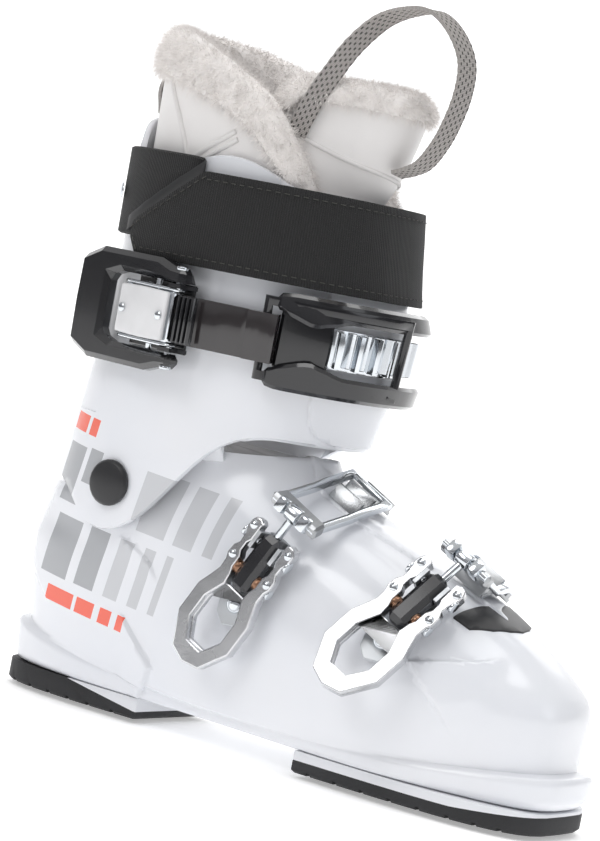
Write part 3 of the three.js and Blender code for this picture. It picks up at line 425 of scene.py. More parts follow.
def group(name, inputs, outputs):
    """A shader node group with its sockets, and a hand for laying its nodes."""
    made = bpy.data.node_groups.new(name, "ShaderNodeTree")
    for label, kind, default in inputs:
        socket = made.interface.new_socket(label, in_out="INPUT", socket_type=kind)
        if default is not None:
            socket.default_value = default
    for label, kind in outputs:
        made.interface.new_socket(label, in_out="OUTPUT", socket_type=kind)
    return made, Nodes(made)


class Nodes:
    """Short hands for laying nodes in a tree."""

    def __init__(self, tree):
        self.tree = tree
        self.made = tree.nodes
        self.links = tree.links

    def add(self, kind, inputs=None, **values):
        """A node with its settings, its inputs set or linked."""
        node = self.made.new(kind)
        for key, value in values.items():
            setattr(node, key, value)
        for key, value in (inputs or {}).items():
            socket = node.inputs[key]
            if isinstance(value, bpy.types.NodeSocket):
                self.links.new(value, socket)
            else:
                socket.default_value = value
        return node

    def math(self, operation, *values):
        """The result of a Math node."""
        node = self.add("ShaderNodeMath", operation=operation)
        for i, value in enumerate(values):
            if isinstance(value, bpy.types.NodeSocket):
                self.links.new(value, node.inputs[i])
            else:
                node.inputs[i].default_value = value
        return node.outputs[0]

    def mix(self, factor, a, b):
        """A colour between two others."""
        node = self.add("ShaderNodeMix", data_type="RGBA")
        for index, value in ((0, factor), (6, a), (7, b)):
            if isinstance(value, bpy.types.NodeSocket):
                self.links.new(value, node.inputs[index])
            else:
                node.inputs[index].default_value = value
        return node.outputs[2]

    def ramp(self, value, low, high):
        """0 at low, 1 at high, straight between."""
        node = self.add("ShaderNodeMapRange", {"Value": value, "From Min": low, "From Max": high})
        node.clamp = True
        return node.outputs[0]


def grain_group():
    """Fine moulding grain: a height for bump and a small change of gloss."""
    made, n = group("fine_grain", [("Scale", "NodeSocketFloat", 900.0),
                                   ("Smudge Scale", "NodeSocketFloat", 30.0)],
                    [("Height", "NodeSocketFloat"), ("Smudge", "NodeSocketFloat")])
    inside = n.add("NodeGroupInput")
    place = n.add("ShaderNodeTexCoord").outputs["Object"]
    fine = n.add("ShaderNodeTexNoise", {"Vector": place, "Scale": inside.outputs["Scale"], "Detail": 3.0})
    broad = n.add("ShaderNodeTexNoise", {"Vector": place, "Scale": inside.outputs["Smudge Scale"],
                                         "Detail": 4.0})
    n.add("NodeGroupOutput", {"Height": fine.outputs[0], "Smudge": broad.outputs[0]})
    return made


def panel_group():
    """A printed bar on the outer side: 1 inside a slanted rectangle seen from that side."""
    made, n = group("printed_block",
                    [("Centre", "NodeSocketVector", (0, 0, 0)), ("Half Length", "NodeSocketFloat", 0.01),
                     ("Half Height", "NodeSocketFloat", 0.01), ("Slant", "NodeSocketFloat", 0.0),
                     ("Tilt", "NodeSocketFloat", 0.0)],
                    [("Mask", "NodeSocketFloat"), ("Along", "NodeSocketFloat")])
    inside = n.add("NodeGroupInput")
    place = n.add("ShaderNodeTexCoord").outputs["Object"]
    moved = n.add("ShaderNodeVectorMath", {0: place, 1: inside.outputs["Centre"]},
                  operation="SUBTRACT").outputs[0]
    spots = n.add("ShaderNodeSeparateXYZ", {0: moved})
    x, z = spots.outputs[0], spots.outputs[2]
    x = n.math("SUBTRACT", x, n.math("MULTIPLY", z, inside.outputs["Slant"]))
    z = n.math("SUBTRACT", z, n.math("MULTIPLY", x, inside.outputs["Tilt"]))
    wide = n.math("LESS_THAN", n.math("ABSOLUTE", x), inside.outputs["Half Length"])
    tall = n.math("LESS_THAN", n.math("ABSOLUTE", z), inside.outputs["Half Height"])
    outer = n.math("LESS_THAN", n.add("ShaderNodeSeparateXYZ", {0: place}).outputs[1], 0.0)
    mask = n.math("MULTIPLY", n.math("MULTIPLY", wide, tall), outer)
    along = n.math("DIVIDE", x, inside.outputs["Half Length"])
    n.add("NodeGroupOutput", {"Mask": mask, "Along": along})
    return made


def weave_group():
    """Ribbed webbing in UV metres: ribs across the band, fine picks along each rib, and a Shade factor for
    painted shade between the ribs and painted light on their crowns.
    """
    made, n = group("ribbed_weave", [("Rib Pitch", "NodeSocketFloat", 0.0011),
                                     ("Pick Pitch", "NodeSocketFloat", 0.0008)],
                    [("Height", "NodeSocketFloat"), ("Shade", "NodeSocketFloat")])
    inside = n.add("NodeGroupInput")
    spots = n.add("ShaderNodeSeparateXYZ", {0: n.add("ShaderNodeUVMap").outputs[0]})

    def wave(value, pitch, shift=None):
        turns = n.math("MULTIPLY", n.math("DIVIDE", value, pitch), math.tau)
        if shift is not None:
            turns = n.math("ADD", turns, shift)
        return n.math("MULTIPLY_ADD", n.math("SINE", turns), 0.5, 0.5)

    rib = wave(spots.outputs[0], inside.outputs["Rib Pitch"])
    side = n.math("MULTIPLY", n.math("FLOOR", n.math("DIVIDE", spots.outputs[0],
                                                     inside.outputs["Rib Pitch"])), 2.1)
    pick = wave(spots.outputs[1], inside.outputs["Pick Pitch"], side)
    height = n.math("MULTIPLY_ADD", pick, 0.35, n.math("MULTIPLY", rib, 0.65))
    # Shade is high on the rib crowns and low in the grooves: a factor for painted light and shade
    n.add("NodeGroupOutput", {"Height": height, "Shade": n.math("MULTIPLY", height, rib)})
    return made


def shader(name):
    """A new material with its nodes and its Principled shader."""
    material = bpy.data.materials.new(name)
    material.use_nodes = True
    n = Nodes(material.node_tree)
    return material, n, material.node_tree.nodes["Principled BSDF"]


def emboss(n, principled, height, strength, distance):
    """Feeds a height to the shader's normal."""
    bump = n.add("ShaderNodeBump", {"Height": height, "Strength": strength, "Distance": distance})
    n.links.new(bump.outputs[0], principled.inputs["Normal"])


def rgba(colour):
    """A colour with full alpha."""
    return (*colour, 1.0)


def plain_finish(name, colour, roughness, metallic=0.0, coat=0.0, grain=900.0, strength=0.1, spread=0.08,
                 sheen=0.0, darker=0.85, smudge=30.0):
    """A moulded, cast or polished finish with grain, broad colour change and uneven gloss."""
    material, n, p = shader(name)
    detail = n.add("ShaderNodeGroup", node_tree=GROUPS["grain"])
    detail.inputs["Scale"].default_value = grain
    detail.inputs["Smudge Scale"].default_value = smudge
    dark = tuple(c * darker for c in colour)
    n.links.new(n.mix(n.ramp(detail.outputs["Smudge"], 0.35, 0.65), rgba(dark), rgba(colour)),
                p.inputs["Base Color"])
    rough = n.ramp(detail.outputs["Smudge"], 0.3, 0.7)
    n.links.new(n.math("MULTIPLY_ADD", rough, spread, roughness - spread / 2), p.inputs["Roughness"])
    p.inputs["Metallic"].default_value = metallic
    p.inputs["Coat Weight"].default_value = coat
    p.inputs["Coat Roughness"].default_value = 0.06
    p.inputs["Sheen Weight"].default_value = sheen
    emboss(n, p, detail.outputs["Height"], strength, 0.0002)
    return material


PRINT_TILT = -0.09  # rise of the printed bars along the shell


def shell_finish(colours):
    """Glossy shell plastic with printed grey and coral bars on the outer side."""
    material, n, p = shader("shell_plastic")
    detail = n.add("ShaderNodeGroup", node_tree=GROUPS["grain"])
    detail.inputs["Scale"].default_value = 1400.0
    detail.inputs["Smudge Scale"].default_value = 14.0
    shell = tuple(colours.shell)
    cooler = (shell[0] * 0.965, shell[1] * 0.975, shell[2] * 0.99)
    base = n.mix(n.ramp(detail.outputs["Smudge"], 0.35, 0.65), rgba(cooler), rgba(shell))
    grey, coral = rgba(colours.print_grey), rgba(colours.print_coral)
    pale = rgba(tuple(0.55 * a + 0.45 * b for a, b in zip(colours.print_grey, shell)))

    def bars(under, slant, places):
        """Lays a row of bars over a colour: places of x, z, half length, half height and colour."""
        for x, z, half_length, half_height, colour in places:
            bar = n.add("ShaderNodeGroup", node_tree=GROUPS["block"])
            bar.inputs["Centre"].default_value = (x, 0, z)
            bar.inputs["Half Length"].default_value = half_length
            bar.inputs["Half Height"].default_value = half_height
            bar.inputs["Slant"].default_value = slant
            bar.inputs["Tilt"].default_value = PRINT_TILT
            under = n.mix(bar.outputs["Mask"], under, colour)
        return under

    tall, low, flap = 0.0140, 0.0036, 0.0040
    base = bars(base, 0.22, (
        (-0.1150, 0.1030, 0.0075, tall, grey), (-0.0985, 0.1085, 0.0045, 0.0080, grey),
        (-0.0600, 0.0985, 0.0085, tall, pale), (-0.0410, 0.0965, 0.0055, tall, pale),
        (-0.0265, 0.0955, 0.0030, tall, pale), (-0.1165, 0.0685, 0.0095, tall, grey),
        (-0.0950, 0.0670, 0.0065, tall, grey), (-0.0775, 0.0655, 0.0045, tall, pale),
        (-0.0635, 0.0645, 0.0032, tall, pale), (-0.0520, 0.0637, 0.0020, tall, pale)))
    base = bars(base, 0.20, (
        (-0.1130, 0.0455, 0.0095, low, coral), (-0.0955, 0.0440, 0.0060, low, coral),
        (-0.0820, 0.0428, 0.0038, low, coral), (-0.0720, 0.0420, 0.0024, low, coral),
        (-0.1130, 0.1272, 0.0058, flap, coral), (-0.1020, 0.1262, 0.0030, flap, coral)))
    n.links.new(base, p.inputs["Base Color"])
    n.links.new(n.math("MULTIPLY_ADD", detail.outputs["Smudge"], 0.08, 0.20), p.inputs["Roughness"])
    p.inputs["Coat Weight"].default_value = 0.4
    p.inputs["Coat Roughness"].default_value = 0.08
    emboss(n, p, detail.outputs["Height"], 0.04, 0.0001)
    return material


def sole_finish(name, colours, heel):
    """Black rubber below a slanted line, white moulded plastic above it."""
    material, n, p = shader(name)
    detail = n.add("ShaderNodeGroup", node_tree=GROUPS["grain"])
    detail.inputs["Scale"].default_value = 1100.0
    place = n.add("ShaderNodeTexCoord").outputs["Object"]
    spots = n.add("ShaderNodeSeparateXYZ", {0: place})
    x, z = spots.outputs[0], spots.outputs[2]
    if heel:
        line = n.math("SUBTRACT", 0.0102, n.math("MULTIPLY", n.ramp(x, -0.105, -0.062), 0.0066))
    else:
        line = n.math("ADD", 0.0056, n.math("MULTIPLY", n.ramp(x, 0.110, 0.146), 0.0028))
    white = n.math("GREATER_THAN", z, line)
    rubber = n.mix(n.ramp(detail.outputs["Smudge"], 0.35, 0.65),
                   rgba(tuple(c * 0.7 for c in colours.rubber)), rgba(colours.rubber))
    n.links.new(n.mix(white, rubber, rgba(colours.shell)), p.inputs["Base Color"])
    n.links.new(n.math("SUBTRACT", 0.62, n.math("MULTIPLY", white, 0.36)), p.inputs["Roughness"])
    emboss(n, p, detail.outputs["Height"], 0.25, 0.0003)
    return material


def woven(n, rib, pick):
    """The ribbed weave at its pitches."""
    weave = n.add("ShaderNodeGroup", node_tree=GROUPS["weave"])
    weave.inputs["Rib Pitch"].default_value = rib
    weave.inputs["Pick Pitch"].default_value = pick
    return weave


def webbing_finish(name, colour, rib, pick, roughness=0.75):
    """Ribbed webbing with painted shade between its ribs and painted light on their crowns."""
    material, n, p = shader(name)
    weave = woven(n, rib, pick)
    # painted shade in the grooves between the ribs and painted highlight on the rib crowns
    dark = tuple(c * 0.35 for c in colour)
    light = tuple(min(1.0, c * 1.5) for c in colour)
    n.links.new(n.mix(weave.outputs["Shade"], rgba(dark), rgba(light)), p.inputs["Base Color"])
    p.inputs["Roughness"].default_value = roughness
    p.inputs["Sheen Weight"].default_value = 0.05
    emboss(n, p, weave.outputs["Height"], 0.8, 0.0004)
    return material


def loop_finish(colour):
    """Pale webbing with staggered rows of dark slots and painted shade between its ribs, in UV metres."""
    material, n, p = shader("loop_webbing")
    weave = woven(n, 0.0007, 0.0009)
    spots = n.add("ShaderNodeSeparateXYZ", {0: n.add("ShaderNodeUVMap").outputs[0]})
    along, across = spots.outputs[0], spots.outputs[1]
    row = n.math("DIVIDE", across, 0.0016)
    stagger = n.math("MULTIPLY", n.math("FLOOR", row), 0.5)
    hole_row = n.math("LESS_THAN", n.math("ABSOLUTE", n.math("SUBTRACT", n.math("FRACT", row), 0.5)), 0.2)
    step = n.math("FRACT", n.math("ADD", n.math("DIVIDE", along, 0.0034), stagger))
    hole = n.math("MULTIPLY", hole_row, n.math("LESS_THAN", step, 0.42))
    # painted shade between the ribs and painted light on their crowns
    body = n.mix(weave.outputs["Shade"], rgba(tuple(c * 0.7 for c in colour)),
                 rgba(tuple(c * 1.25 for c in colour)))
    n.links.new(n.mix(hole, body, (0.05, 0.048, 0.045, 1)), p.inputs["Base Color"])
    p.inputs["Roughness"].default_value = 0.85
    height = n.math("SUBTRACT", weave.outputs["Height"], n.math("MULTIPLY", hole, 2.0))
    emboss(n, p, height, 0.6, 0.0003)
    return material


def fur_finish(name, colour):
    """Soft pile: strands drawn by stretched noise, and clumps that differ in tone."""
    material, n, p = shader(name)
    place = n.add("ShaderNodeTexCoord").outputs["Object"]
    stretched = n.add("ShaderNodeMapping", {"Vector": place, "Scale": (1.0, 1.0, 0.35)})
    strands = n.add("ShaderNodeTexNoise", {"Vector": stretched.outputs[0], "Scale": 1500.0, "Detail": 4.0})
    clumps = n.add("ShaderNodeTexNoise", {"Vector": place, "Scale": 190.0, "Detail": 3.0})
    root = rgba(tuple(c * 0.90 for c in colour))
    tone = n.mix(n.ramp(clumps.outputs[0], 0.35, 0.62), root, rgba(colour))
    n.links.new(tone, p.inputs["Base Color"])
    p.inputs["Roughness"].default_value = 0.9
    p.inputs["Sheen Weight"].default_value = 0.5
    height = n.math("MULTIPLY_ADD", clumps.outputs[0], 1.4, strands.outputs[0])
    emboss(n, p, height, 0.45, 0.0006)
    return material


def build_materials(colours, sizes):
    """Every material of the boot, by the name that the pieces call it."""
    GROUPS.update(grain=grain_group(), block=panel_group(), weave=weave_group())
    liner = tuple(colours.liner)
    return {
        "shell": shell_finish(colours),
        "silver": plain_finish("pearl_cap", (0.80, 0.80, 0.81), 0.45, coat=0.1, strength=0.05),
        "heel_sole": sole_finish("heel_rubber", colours, True),
        "toe_sole": sole_finish("toe_rubber", colours, False),
        "black": plain_finish("black_gloss", tuple(colours.black), 0.16, coat=0.6, grain=1500.0,
                              strength=0.03, darker=0.7),
        "cap": plain_finish("black_satin", (0.028, 0.028, 0.030), 0.38, grain=1500.0, strength=0.06),
        "smoke": plain_finish("smoked_gloss", (0.034, 0.030, 0.031), 0.12, coat=0.6, strength=0.02),
        "board": plain_finish("grey_board", (0.33, 0.33, 0.35), 0.6, strength=0.3),
        "liner": plain_finish("liner_cover", liner, 0.5, grain=1800.0, strength=0.25, sheen=0.1,
                              darker=0.95),
        "foam": plain_finish("liner_foam", (0.52, 0.515, 0.51), 0.85, grain=2200.0, strength=0.5, sheen=0.2),
        "piping": plain_finish("liner_piping", tuple(c * 0.96 for c in liner), 0.55, grain=2500.0,
                               strength=0.3),
        "fur": fur_finish("collar_fur", tuple(colours.fur)),
        "loop": loop_finish(tuple(colours.loop)),
        "webbing": webbing_finish("strap_webbing", tuple(colours.webbing), sizes.rib_pitch, 0.0009),
        "tape": plain_finish("strap_tape", (0.030, 0.030, 0.031), 0.38, grain=1600.0, strength=0.2),
        "thread": plain_finish("strap_thread", (0.055, 0.053, 0.048), 0.6, strength=0.2),
        "copper": plain_finish("spring_wire", tuple(colours.copper), 0.3, metallic=1.0, strength=0.05),
        "alloy": plain_finish("cast_alloy", (0.70, 0.705, 0.72), 0.26, metallic=1.0, grain=500.0,
                              strength=0.12, spread=0.12, darker=0.93),
        "steel": plain_finish("bright_steel", (0.74, 0.77, 0.80), 0.14, metallic=1.0, grain=600.0,
                              strength=0.04, darker=0.9),
        "brushed": plain_finish("brushed_steel", (0.44, 0.45, 0.46), 0.30, metallic=1.0, grain=900.0,
                                strength=0.2, spread=0.2, darker=0.75),
        "zinc": plain_finish("plated_zinc", (0.66, 0.68, 0.70), 0.42, metallic=0.85, grain=700.0,
                             strength=0.1),
        "dark": plain_finish("dark_barrel", (0.022, 0.022, 0.025), 0.25, coat=0.4, strength=0.05),
    }


# ---------------------------------------------------------------- shell and cuff details


def side_distance(path, spot):
    """Signed distance from a path in a plane, positive on its left, and how far past its ends."""
    best = (1e9, 0.0, 0.0)
    for i, (a, b) in enumerate(zip(path, path[1:])):
        run = b - a
        share = (spot - a).dot(run) / run.length_squared
        held = min(1.0, max(0.0, share))
        gap = (spot - a - run * held).length
        if gap < best[0]:
            cross = run.x * (spot - a).y - run.y * (spot - a).x
            past = 0.0
            if (i == 0 and share < 0) or (i == len(path) - 2 and share > 1):
                past = gap
            best = (gap, math.copysign(gap, cross), past)
    return best[1], best[2]


CUT_REACH = 0.0045  # faces nearer than this to a path are cut along it


def raise_beyond(obj, path, plane, height, fade, takes, taper=0.010, width=0.0007):
    """Raises the surface on the left of a path: a crisp step at the path that fades away from it.

    path is in mm in the plane named by two axes; takes(position, normal) says which faces take part.
    """
    axes = ["XYZ".index(letter) for letter in plane]
    path = [Vector((a, b)) * MM for a, b in path]
    flatten = lambda p: Vector((p[axes[0]], p[axes[1]]))
    only(obj)
    for a, b in zip(path, path[1:]):
        run = (b - a).normalized()
        across = Vector((0, 0, 0))
        across[axes[0]], across[axes[1]] = -run.y, run.x
        start = Vector((0, 0, 0))
        start[axes[0]], start[axes[1]] = a.x, a.y
        for offset in (0.0, width):
            for polygon in obj.data.polygons:
                gap, past = side_distance([a, b], flatten(polygon.center))
                polygon.select = (abs(gap) < CUT_REACH and past < CUT_REACH
                                  and takes(polygon.center, polygon.normal))
            bpy.ops.object.mode_set(mode="EDIT")
            bpy.ops.mesh.select_mode(type="FACE")
            bpy.ops.mesh.bisect(plane_co=start + across * offset, plane_no=across, threshold=0.000001)
            bpy.ops.object.mode_set(mode="OBJECT")
    moves = {}
    for vertex in obj.data.vertices:
        if not takes(vertex.co, vertex.normal):
            continue
        gap, past = side_distance(path, flatten(vertex.co))
        if 0 < gap < fade and past < taper:
            step = min(1.0, gap / width)
            rest = 1 - (gap / fade) ** 2 * (3 - 2 * gap / fade)
            moves[vertex.index] = vertex.normal * height * step * rest * (1 - past / taper)
    for index, move in moves.items():
        obj.data.vertices[index].co += move
    obj.data.update()
    return obj


def crease_sharp(obj, angle=32, value=0.7):
    """Creases the edges sharper than an angle, so that subdivision keeps them crisp."""
    only(obj)
    bpy.ops.object.mode_set(mode="EDIT")
    bpy.ops.mesh.select_mode(type="EDGE")
    bpy.ops.mesh.select_all(action="DESELECT")
    bpy.ops.mesh.edges_select_sharp(sharpness=math.radians(angle))
    bpy.ops.transform.edge_crease(value=value)
    bpy.ops.object.mode_set(mode="OBJECT")
    return obj


class BOOT_OT_shell(Operator):
    """Builds the lower shell's skin with its steps and creases, the toe insert and the footboard."""

    bl_idname = "boot.shell"
    bl_label = "Shell"

    def execute(self, context):
        skin = subdivide(crease_sharp(copy_of("lower_shell", "shell_skin")), 2)

        def outer(p, n):
            return n.y * (p.y - 0.008) + n.z * (p.z - 0.05) * 0.5 + n.x * (p.x - 0.02) * 0.1 > 0.0

        side = lambda p, n: outer(p, n) and abs(n.y) > 0.25 and p.z > 0.011
        top = lambda p, n: outer(p, n) and n.z > 0.15 and p.z > 0.055
        raise_beyond(skin, [(-58, 12), (-50, 27), (-66, 42)], "XZ", 0.0017, 0.022, side)
        raise_beyond(skin, [(-130, 92), (-137, 72), (-137.5, 60), (-134, 52), (-122, 42)], "XZ", 0.0006,
                     0.012, side)
        raise_beyond(skin, [(-57, 69), (-61, 74), (-76, 80)], "XZ", 0.0007, 0.014, side, taper=0.006)
        raise_beyond(skin, [(109, 67.5), (81, 61.5), (101, 40)], "XZ", 0.0015, 0.026, side)
        raise_beyond(skin, [(-4, -5), (5, -9.3), (31, -11), (59, -8), (81, 0), (97, 4)], "XY", 0.0015, 0.034,
                     top)
        smooth(skin, 32)
        finish_piece(skin, "shell", "shell", "white_shell", "lower_shell")

        flat = Matrix(((1, 0, 0, 0), (0, 0, 1, 0), (0, -1, 0, 0), (0, 0, 0, 1)))
        crescent = [(88.6, -18.4), (91.0, -8), (92.4, 2), (92.8, 9), (92.0, 17), (90.0, 28), (88.6, 36),
                    (97.0, 34), (102.5, 27), (106.6, 18), (108.4, 9), (107.2, 0.2), (103.4, -8.2),
                    (96.4, -16.6)]
        insert = copy_of("lower_shell", "toe_insert_gloss")
        subdivide(crease_sharp(insert), 2)
        apply_modifier(insert, "BOOLEAN", operation="INTERSECT", solver="EXACT",
                       object=plate("window", crescent, 62, 112, flat, 0))
        bpy.data.objects.remove(bpy.data.objects["window"])
        only(insert)
        for vertex in insert.data.vertices:
            vertex.co += Vector((0.00035, 0, 0.0006))
        bevel(insert, 0.0003, 2, 50)
        smooth(insert, 40)
        finish_piece(insert, "cap", "shell", "black_gloss", "toe_insert")

        finish_node("boot_board", "board")
        foam = pad("liner_foot", "liner_foot_foam")
        finish_piece(foam, "foam", "shell", "liner_foam", "liner_foot")
        return {"FINISHED"}


class BOOT_OT_soles(Operator):
    """Builds the two rubber soles with their tread notches and screws."""

    bl_idname = "boot.soles"
    bl_label = "Soles"

    def execute(self, context):
        across = Matrix(((0, 0, -1, 0), (1, 0, 0, 0), (0, -1, 0, 0), (0, 0, 0, 1)))
        for kind, places in (("heel", (-136, -124, -112, -100, -88, -74)),
                             ("toe", (40, 54, 68, 82, 96, 110, 122, 132))):
            node = f"{kind}_sole"
            body = copy_of(node, f"{kind}_sole_rubber", quads=False)
            for x in places:
                notch = box("slot", (-60, 60), (-1.4, 1.5), (-0.9, 0.9),
                            Matrix.Translation((x * MM, 0, 0)) @ across, 0)
                cut_out(body, notch)
            bevel(body, 0.0004, 2, 40)
            smooth(body, 35)
            finish_piece(body, node, "shell", "black_rubber", node)
            for i in (1, 2):
                screw = f"{kind}_screw_{i}"
                head = dressed(screw, f"{screw}_head", edge=30)
                finish_piece(head, "steel", "shell", "bright_steel", screw)
        return {"FINISHED"}


class BOOT_OT_cuff(Operator):
    """Builds the cuff's skin with its overlap, the spoiler and the hinge caps."""

    bl_idname = "boot.cuff"
    bl_label = "Cuff"

    def apron(self):
        """A sheet from the lower shell's rim to the cuff; where the cuff is open it runs to the far wall."""
        wrap, lower = Wrap(), tree_of(NODES["lower_shell"])
        columns = []
        steps, levels = 36, 7
        for i in range(steps + 1):
            angle = math.radians(98 + 150 * i / steps)
            ray = spoke(angle)
            hem = next((z * MM for z in range(128, 172) if wrap.hit(angle, z * MM)[0]), None)
            rim = None
            for z in range(150, 104, -1):
                spot, _, _, reach = cast(lower, wrap.centre, angle, z * MM)
                if spot and reach < CAST_REACH:
                    rim = spot
                    break
            if hem is None or rim is None:
                continue
            top = wrap.point(angle, hem + 0.006, -0.0052)
            low = Vector((rim.x, rim.y, 0)) - ray * 0.0006 + Vector((0, 0, rim.z - 0.004))
            if top.z - low.z < 0.003:
                continue
            bulge = lambda t: low.lerp(top, t) + ray * 0.0010 * math.sin(math.pi * t)
            columns.append([bulge(k / (levels - 1)) for k in range(levels)])
        points, faces = [p for column in columns for p in column], []
        for i in range(len(columns) - 1):
            for k in range(levels - 1):
                first = i * levels + k
                faces.append((first, first + 1, first + levels + 1, first + levels))
        skin = from_points("shell_throat", points, faces)
        apply_modifier(skin, "SOLIDIFY", thickness=0.0016, offset=-1.0)
        outwards(skin)
        return smooth(subdivide(skin, 1), 50)

    def execute(self, context):
        skin = subdivide(crease_sharp(copy_of("cuff", "cuff_skin"), 40, 0.8), 2)
        outer = lambda p, n: n.x * (p.x + 0.06) + n.y * p.y > 0 and n.x > 0.05
        flap = [(40, 140.2), (6, 140.2), (-8, 140.6), (-17, 143), (-22, 148), (-25, 158), (-26, 240)]
        raise_beyond(skin, flap, "YZ", -0.0017, 0.034, outer)
        smooth(skin, 35)
        finish_piece(skin, "shell", "cuff", "white_shell", "cuff")
        finish_piece(self.apron(), "shell", "shell", "white_shell")
        spoiler = smooth(subdivide(crease_sharp(copy_of("spoiler", "spoiler_plate"), 50, 0.5), 2), 40)
        finish_piece(spoiler, "shell", "cuff", "white_shell", "spoiler")
        for side in ("outer", "inner"):
            node = f"pivot_cap_{side}"
            cap = dressed(node, f"{node}_satin", 0.0003, edge=20, shade=30, quads=True)
            finish_piece(cap, "cap", "cuff", "black_gloss", node)
            finish_node(f"pivot_bush_{side}", "steel")
        return {"FINISHED"}


# ---------------------------------------------------------------- liner, tongue and fur


def crown_of(obj, centre, bins=72):
    """The highest height of a piece in each direction from a centre."""
    tops = [0.0] * bins
    for vertex in obj.data.vertices:
        slot = int(bearing(vertex.co, centre) / math.tau * bins) % bins
        tops[slot] = max(tops[slot], vertex.co.z)
    for i in range(bins):
        if not tops[i]:
            tops[i] = max(tops[i - 1], tops[(i + 1) % bins])

    def top(p):
        angle = bearing(p, centre) / math.tau * bins - 0.5
        low = math.floor(angle)
        return tops[low % bins] + (tops[(low + 1) % bins] - tops[low % bins]) * (angle - low)

    return top


def band_of(obj, name, keeps):
    """A copy of the faces that keeps() takes."""
    only(obj)
    bpy.ops.object.duplicate()
    band = settle(bpy.context.object, name)
    for polygon in band.data.polygons:
        polygon.select = not keeps(polygon.center, polygon.normal)
    bpy.ops.object.mode_set(mode="EDIT")
    bpy.ops.mesh.select_mode(type="FACE")
    bpy.ops.mesh.delete(type="FACE")
    bpy.ops.object.mode_set(mode="OBJECT")
    return band


def lumps(obj, strength, scale):
    """Pushes a surface in and out by soft noise."""
    texture = bpy.data.textures.new("pile_lumps", "CLOUDS")
    texture.noise_scale = scale
    apply_modifier(obj, "DISPLACE", texture=texture, strength=strength, mid_level=0.5,
                   texture_coords="LOCAL")
    return obj


def pile(obj, name, count, length, seed):
    """Short tufts standing on a piece: three-sided blades that lean and differ in length."""
    rng = random.Random(seed)
    mesh = obj.data
    mesh.calc_loop_triangles()
    triangles = [t for t in mesh.loop_triangles if t.area > 1e-10]
    total = 0.0
    reach = []
    for triangle in triangles:
        total += triangle.area
        reach.append(total)
    points, faces = [], []
    for _ in range(count):
        triangle = triangles[min(len(triangles) - 1, bisect(reach, rng.random() * total))]
        a, b, c = (mesh.vertices[i].co for i in triangle.vertices)
        u, v = sorted((rng.random(), rng.random()))
        root = a * u + b * (v - u) + c * (1 - v)
        wild = Vector((rng.gauss(0, 0.45), rng.gauss(0, 0.45), rng.gauss(-0.25, 0.45)))
        lean = (triangle.normal + wild).normalized()
        side = lean.orthogonal().normalized() * 0.00016
        other = lean.cross(side).normalized() * 0.00016
        tall = length * rng.uniform(0.55, 1.15)
        tip = root + lean * tall + Vector((0, 0, -0.25 * tall))
        first = len(points)
        points += [root + side - lean * 0.0004, root - side * 0.5 + other - lean * 0.0004,
                   root - side * 0.5 - other - lean * 0.0004, tip]
        faces += [(first, first + 1, first + 3), (first + 1, first + 2, first + 3),
                  (first + 2, first, first + 3)]
    blades = bpy.data.meshes.new(name)
    blades.from_pydata([tuple(p) for p in points], [], faces)
    tufts = added(name, blades)
    return settle(tufts, name)


class BOOT_OT_liner(Operator):
    """Builds the soft liner, the tongue, their fur trim and piping."""

    bl_idname = "boot.liner"
    bl_label = "Liner"

    def execute(self, context):
        sizes = context.scene.boot_sizes
        centre = middle_of("liner_cuff")
        liner = pad("liner_cuff", "liner_collar")
        top = crown_of(liner, centre)
        trim_band = band_of(liner, "collar_fur", lambda p, n: p.z > 0.225 and p.z > top(p) - 0.0155)
        apply_modifier(trim_band, "SOLIDIFY", thickness=0.0046, offset=1.0)
        lumps(smooth(subdivide(trim_band, 1), 60), 0.0024, 0.014)
        tufts = pile(trim_band, "collar_pile", sizes.tufts, sizes.fur_length, 11)
        finish_piece(liner, "liner", "cuff", "white_liner", "liner_cuff")
        finish_piece(trim_band, "fur", "cuff", "white_liner")
        finish_piece(tufts, "fur", "cuff", "white_liner")

        tongue = pad("tongue", "tongue_pad")
        crest = crown_of(tongue, centre)
        roll = band_of(tongue, "tongue_fur", lambda p, n: p.z > 0.27 and p.z > crest(p) - 0.010)
        apply_modifier(roll, "SOLIDIFY", thickness=0.0034, offset=1.0)
        lumps(smooth(subdivide(roll, 1), 60), 0.0022, 0.010)
        tongue_tufts = pile(roll, "tongue_pile", sizes.tufts // 2, sizes.fur_length * 0.85, 12)
        finish_piece(tongue, "liner", "cuff", "white_liner", "tongue")
        finish_piece(roll, "fur", "cuff", "white_liner")
        finish_piece(tongue_tufts, "fur", "cuff", "white_liner")

        front = tree_of(tongue)
        seam = []
        for i in range(25):
            share = i / 24
            angle = math.radians(128 + 62 * share)
            hit = cast(front, centre, angle, 0.2735 - 0.016 * share)[0]
            if hit:
                seam.append(hit + spoke(angle) * 0.0002)
        if len(seam) > 3:
            finish_piece(tube("tongue_piping", seam, 0.0011), "piping", "cuff", "white_liner")
        outer = tree_of(liner)
        seams = {  # (angle in degrees, height in mm)
            "collar_seam_rear": [(42, 290), (48, 281), (54, 273), (62, 261), (67, 251), (68, 244)],
            "collar_piping": [(67, 250.5), (73, 256), (80, 260.4), (89, 265), (97, 269.5)],
            "collar_piping_twin": [(70, 248.5), (76, 253.4), (83, 257.6), (92, 262.2), (99, 266)],
        }
        for name, spots in seams.items():
            route = []
            for (a, z), (b, w) in zip(spots, spots[1:]):
                for k in range(6):
                    angle, height = math.radians(a + (b - a) * k / 6), (z + (w - z) * k / 6) * MM
                    hit = cast(outer, centre, angle, height)[0]
                    if hit:
                        route.append(hit)
            finish_piece(tube(name, route, 0.0013), "piping", "cuff", "white_liner")
        return {"FINISHED"}


# ---------------------------------------------------------------- straps and loops


